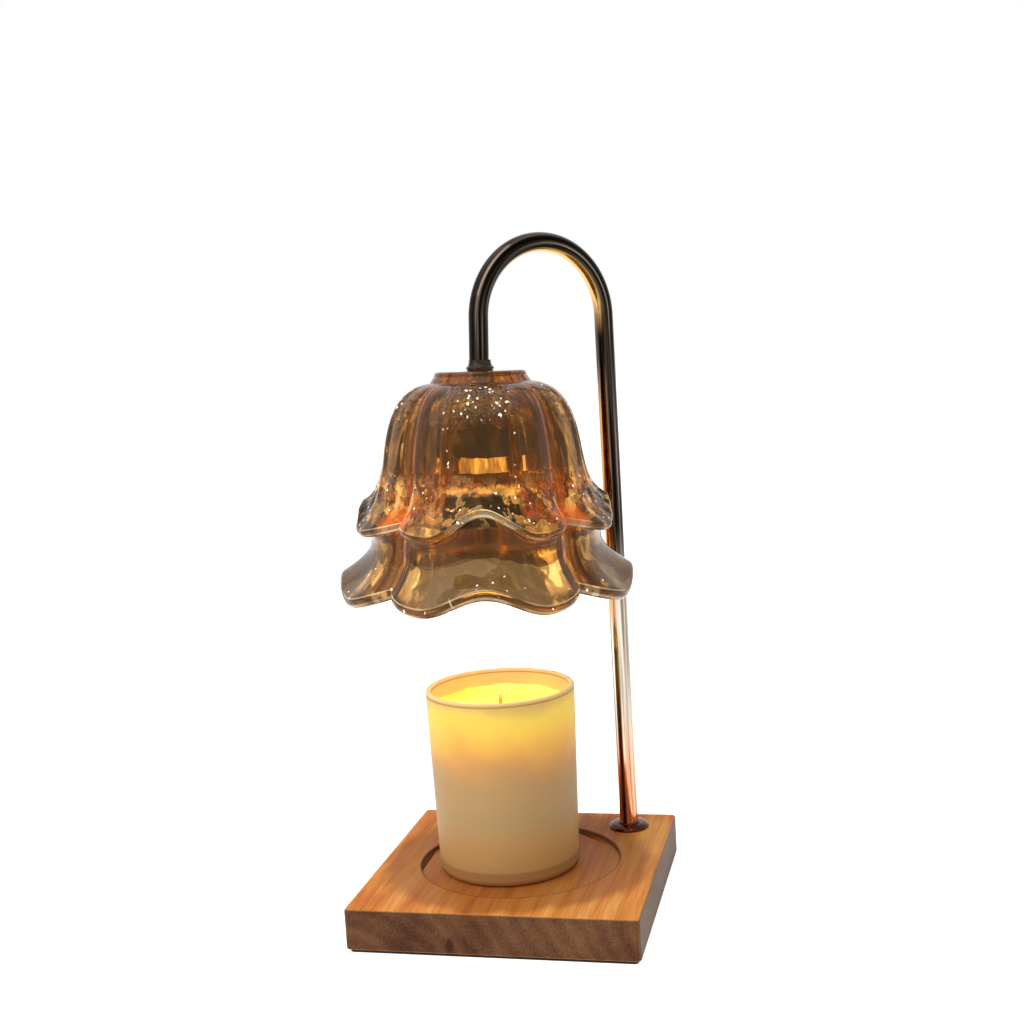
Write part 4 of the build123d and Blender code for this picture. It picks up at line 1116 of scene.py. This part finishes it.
# %% Wax
wax_top, wick_hole, wall_gap = 82.2, 8.6, 0.35
crust_radius = jar_radius(wax_top + 1) - jar_wall - wall_gap
wax_profile = [(0, jar_floor + 6), (wick_hole, jar_floor + 6), (wick_hole, jar_floor + 0.4)]
wax_profile += [(28.0, jar_floor + 0.4)] + rounded((28.9, 11.4), 3.1, -90, 0, 6)
wax_profile += [(jar_radius(h) - jar_wall - wall_gap, h) for h in (14, 30, 50, 70, 80)]
wax_surface = [
    (crust_radius, 0.6), (crust_radius - 0.5, 0.5), (crust_radius - 1.6, -0.3), (28, -0.7), (18, -0.9),
    (8, -0.8), (2.4, -0.5), (1.3, 0.2), (0, 0.3),
]
wax_profile += [(reach, wax_top + rise) for reach, rise in wax_surface]
wax_mesh = spun("candle_wax_body", [(r * mm, h * mm) for r, h in wax_profile], jar_foot, 160)
for vert in wax_mesh.vertices:
    spoke = vert.co - jar_foot
    if spoke.z > wax_top * mm and spoke.xy.length > 30 * mm:
        turn_angle = Vector((1, 0)).angle_signed(spoke.xy)
        waves = (1, 3, 0.6), (0.5, 11, 2), (0.35, 29, 0)
        ragged = sum(size * sin(count * turn_angle + phase) for size, count, phase in waves)
        vert.co.z += (0.7 + 0.45 * ragged) * mm
wax, tree, shader = new_finish("lit_wax")
smooth(wax_mesh, 50)
add_piece("candle_wax_body", wax_mesh, "candle", wax, ["candle_wax"])
mottle = own_noise(tree, 45, 3)
wax_tone = painted_ramp(mottle, {
    0.30: (252, 226, 92), 0.50: (254, 236, 112), 0.70: (255, 244, 150),
})
# The wax glows a little as painted light.
lit(shader, wax_tone, 0.42, 0.28)
set_shader(shader, Subsurface_Weight=0.2, Subsurface_Scale=0.004)
bump(shader, own_noise(tree, 140, 2), 0.1, 0.0004)

# %% [markdown]
# The wick is three cotton strands laid round each other. A strand is a helix, which is a spiral
# with one radius, and the other two are the same helix turned by a third. The rule makes one,
# repeats it and ends in real geometry.

# %% Wick
wick_rule, sizes, wick_result = new_rule("laid_wick", {
    "Strands": 3, "Turns": 26.0, "Length": 0.0786, "Lay Radius": 0.00042, "Strand Radius": 0.00046,
    "Foot": (0.0, 0.0, 0.0),
})
tree = wick_rule
helix = node(tree, "GeometryNodeCurveSpiral", {
    "Resolution": 10, "Rotations": sizes["Turns"], "Start Radius": sizes["Lay Radius"],
    "End Radius": sizes["Lay Radius"], "Height": sizes["Length"],
}).outputs[0]
thread_inputs = {"Resolution": 8, "Radius": sizes["Strand Radius"]}
thread = node(tree, "GeometryNodeCurvePrimitiveCircle", thread_inputs).outputs["Curve"]
strand_inputs = {0: helix, 1: thread, "Fill Caps": True}
strand = node(tree, "GeometryNodeCurveToMesh", strand_inputs).outputs[0]
seat_inputs = {"Count": sizes["Strands"], "Offset": (0.0, 0.0, 0.0)}
seats = node(tree, "GeometryNodeMeshLine", seat_inputs).outputs[0]
third = calc("DIVIDE", 2 * pi, sizes["Strands"])
strand_turn = times(node(tree, "GeometryNodeInputIndex").outputs[0], third)
turns = combined(0, 0, strand_turn)
laid_inputs = {0: seats, "Instance": strand, "Rotation": turns}
laid = node(tree, "GeometryNodeInstanceOnPoints", laid_inputs).outputs[0]
placed = node(tree, "GeometryNodeTransform", {0: laid, "Translation": sizes["Foot"]}).outputs[0]
cotton, cotton_tree, cotton_shader = new_finish("wick_cotton")
close_rule(tree, placed, cotton, wick_result)
wick_start = bpy.data.meshes.new("wick_start")
wick_mesh = run_rule("laid_wick", tree, wick_start, {"Foot": (jar_foot.x, jar_foot.y, 27.9 * mm)})
add_piece("laid_wick", wick_mesh, "candle", cotton, ["candle_wick"])
tree, shader = cotton_tree, cotton_shader
tip = between(parts_of(object_point(tree))[2], 0.1015, 0.1065)
cotton_tone = painted_ramp(tip, {0.0: (246, 190, 70), 0.5: (236, 190, 96), 1.0: (250, 236, 190)})
set_shader(shader, Base_Color=cotton_tone, Roughness=0.9, Sheen_Weight=0.3)
bump(shader, own_noise(tree, 3000, 2), 0.3, 0.0001)

# %% [markdown]
# ## The board
# The board is cut from one light hardwood. Real grain is solid: year rings are cylinders round
# the trunk's middle, so a face along the trunk shows long streaks and a face across it shows arcs.
# The finish works in the same way. It measures the distance to a far line that runs front to
# back, and reads rings from it, so top, sides and end grain agree. End grain takes more oil and
# is darker, and the front and back are painted darker still as painted shade; the sides are also
# painted darker as painted shade. The face's direction decides.

# %% Oiled wood
wood, tree, shader = new_finish("oiled_wood")
spot = node(tree, "ShaderNodeTexCoord").outputs["Object"]
side, front, up_way = parts_of(spot)
wander = own_noise(tree, 22, 2, stretch=(1, 0.25, 1))
trunk_aside, trunk_below, ring_step = 0.085, 0.060, 0.0085
steps = plus(side, trunk_aside), plus(up_way, trunk_below)
squares = [calc("POWER", step, 2) for step in steps]
trunk = plus(calc("SQRT", plus(*squares)), times(wander, 0.016))
rings = calc("SINE", times(trunk, 2 * pi / ring_step))
rings = plus(times(rings, 0.5), 0.5)
fibre = own_noise(tree, 900, 4, 0.65, stretch=(1, 0.035, 1))
pores = own_noise(tree, 2600, 2, 0.5, stretch=(1, 0.06, 1))
patches = own_noise(tree, 34, 3, stretch=(1, 0.35, 1))
grain = weighted((rings, 0.07), (fibre, 0.48), (patches, 0.54))
top_tone = painted_ramp(grain, {
    0.38: (176, 84, 26), 0.48: (206, 118, 46), 0.56: (222, 142, 64), 0.68: (238, 172, 92),
})
# End grain: darker from oil, and painted darker still as painted shade.
end_grain_and_shade_tone = painted_ramp(grain, {
    0.38: (66, 38, 24), 0.49: (92, 58, 38), 0.60: (114, 76, 50), 0.72: (134, 94, 62),
})
# The sides, painted darker and duller as painted shade.
shaded_side_tone = painted_ramp(grain, {0.38: (72, 50, 33), 0.50: (98, 72, 48), 0.65: (124, 94, 64)})
facing = parts_of(node(tree, "ShaderNodeTexCoord").outputs["Normal"])
sideways, across = [between(calc("ABSOLUTE", facing[axis]), 0.55, 0.85) for axis in (0, 1)]
wood_tone = mix_colour(across, mix_colour(sideways, top_tone, shaded_side_tone), end_grain_and_shade_tone)
print("wood nodes so far", len(tree.nodes))

# %% [markdown]
# Four marks finish the board. A thin dark line on the recess edge is partly a scorch mark left by
# the cutter and partly painted shade, a painted shadow of the jar darkens the wood round the
# recess, the upper edges are paler, and a small pin knot shows low on the front. All are distances
# in the board's own coordinates.

# %% Scorched and shaded line, painted shadow, knot and pores
recess_edge = 0.0502
flat_spot = combined(side, front)
from_middle = vector_step("LENGTH", flat_spot)["Value"]
off_edge = calc("ABSOLUTE", minus(from_middle, recess_edge))
above_foot = calc("GREATER_THAN", up_way, 0.018)
# A thin dark line on the recess edge: partly a scorch mark, partly painted shade.
scorch_and_shade = times(between(off_edge, 0.0009, 0.0002), above_foot)
# A painted shadow of the jar round the recess, with a wavy edge.
painted_jar_shadow = plus(from_middle, times(minus(patches, 0.5), 0.030))
painted_jar_shadow = times(between(painted_jar_shadow, 0.074, 0.064), between(up_way, 0.017, 0.019))
top_edge = times(between(up_way, 0.0206, 0.0212), largest(across, sideways))
knot_way = vector_step("SUBTRACT", spot, (-0.019, -0.070, 0.0055))[0]
knot_inputs = {0: knot_way, 2: (0, 0.5, 0), 3: (1.0, 0.1, 0.45)}
knot_way = node(tree, "ShaderNodeMapping", knot_inputs).outputs[0]
knot = between(vector_step("LENGTH", knot_way)["Value"], 0.0030, 0.0006)
wood_tone = lay_all(wood_tone, [
    (scorch_and_shade, 0.85, paint(84, 34, 16)),
    (painted_jar_shadow, 0.55, paint(138, 84, 42)),
    (top_edge, 0.6, paint(190, 142, 92)),
    (knot, 0.8, paint(52, 26, 16)),
])
gloss = spread(fibre, 0.38, 0.62)
set_shader(shader, Base_Color=wood_tone, Specular_IOR_Level=0.1, Roughness=gloss)
bump(shader, plus(pores, times(fibre, 0.6)), 0.25, 0.0003)
dressed_copy("base_board", wood, 8)

# %% [markdown]
# ## Stage and light
# A wide pale floor and a soft light from above, a little to the left. The world is white where the
# camera, a mirror or the glass looks at it, and low where it only fills shadows, so the plating
# and the glass have a white surrounding and the wood keeps the colour it is given.

# %% Floor
floor_mesh = bpy.data.meshes.new("floor")
reach = 6
corners = [(x * reach, y * reach, 0) for x, y in ((-1, -1), (1, -1), (1, 1), (-1, 1))]
floor_mesh.from_pydata(corners, [], [(0, 1, 2, 3)])
floor = bpy.data.objects.new("floor", floor_mesh)
scene.collection.objects.link(floor)
floor_paint, tree, shader = new_finish("pale_floor")
set_shader(
    shader, Base_Color=(0.86, 0.86, 0.86, 1), Roughness=0.9, Specular_IOR_Level=0.1,
    Emission_Color=(1, 1, 1, 1), Emission_Strength=times(looked_at(tree), 0.8),
)
floor_mesh.materials.append(floor_paint)

# %% World and lamps
world = scene.world or bpy.data.worlds.new("studio")
scene.world = world
world.use_nodes = True
tree = world.node_tree
sky = tree.nodes["Background"]
join((1, 1, 1, 1), sky.inputs["Color"])
join(spread(looked_at(tree), 0.52, 1.0), sky.inputs["Strength"])


def soft_lamp(name, place, target, size, power):
    """A square area lamp that looks at a point."""
    data = bpy.data.lights.new(name, "AREA")
    data.size, data.energy = size, power
    lamp = bpy.data.objects.new(name, data)
    lamp.location = place
    lamp.rotation_euler = (Vector(target) - Vector(place)).to_track_quat("-Z", "Y").to_euler()
    scene.collection.objects.link(lamp)


soft_lamp("key", (-0.35, -0.45, 1.25), (0, 0, 0.1), 1.4, 10)
soft_lamp("fill", (-0.9, -1.1, 0.6), (0, 0, 0.15), 1.15, 4)

# %% [markdown]
# ## Finish

# %% Finish
import json
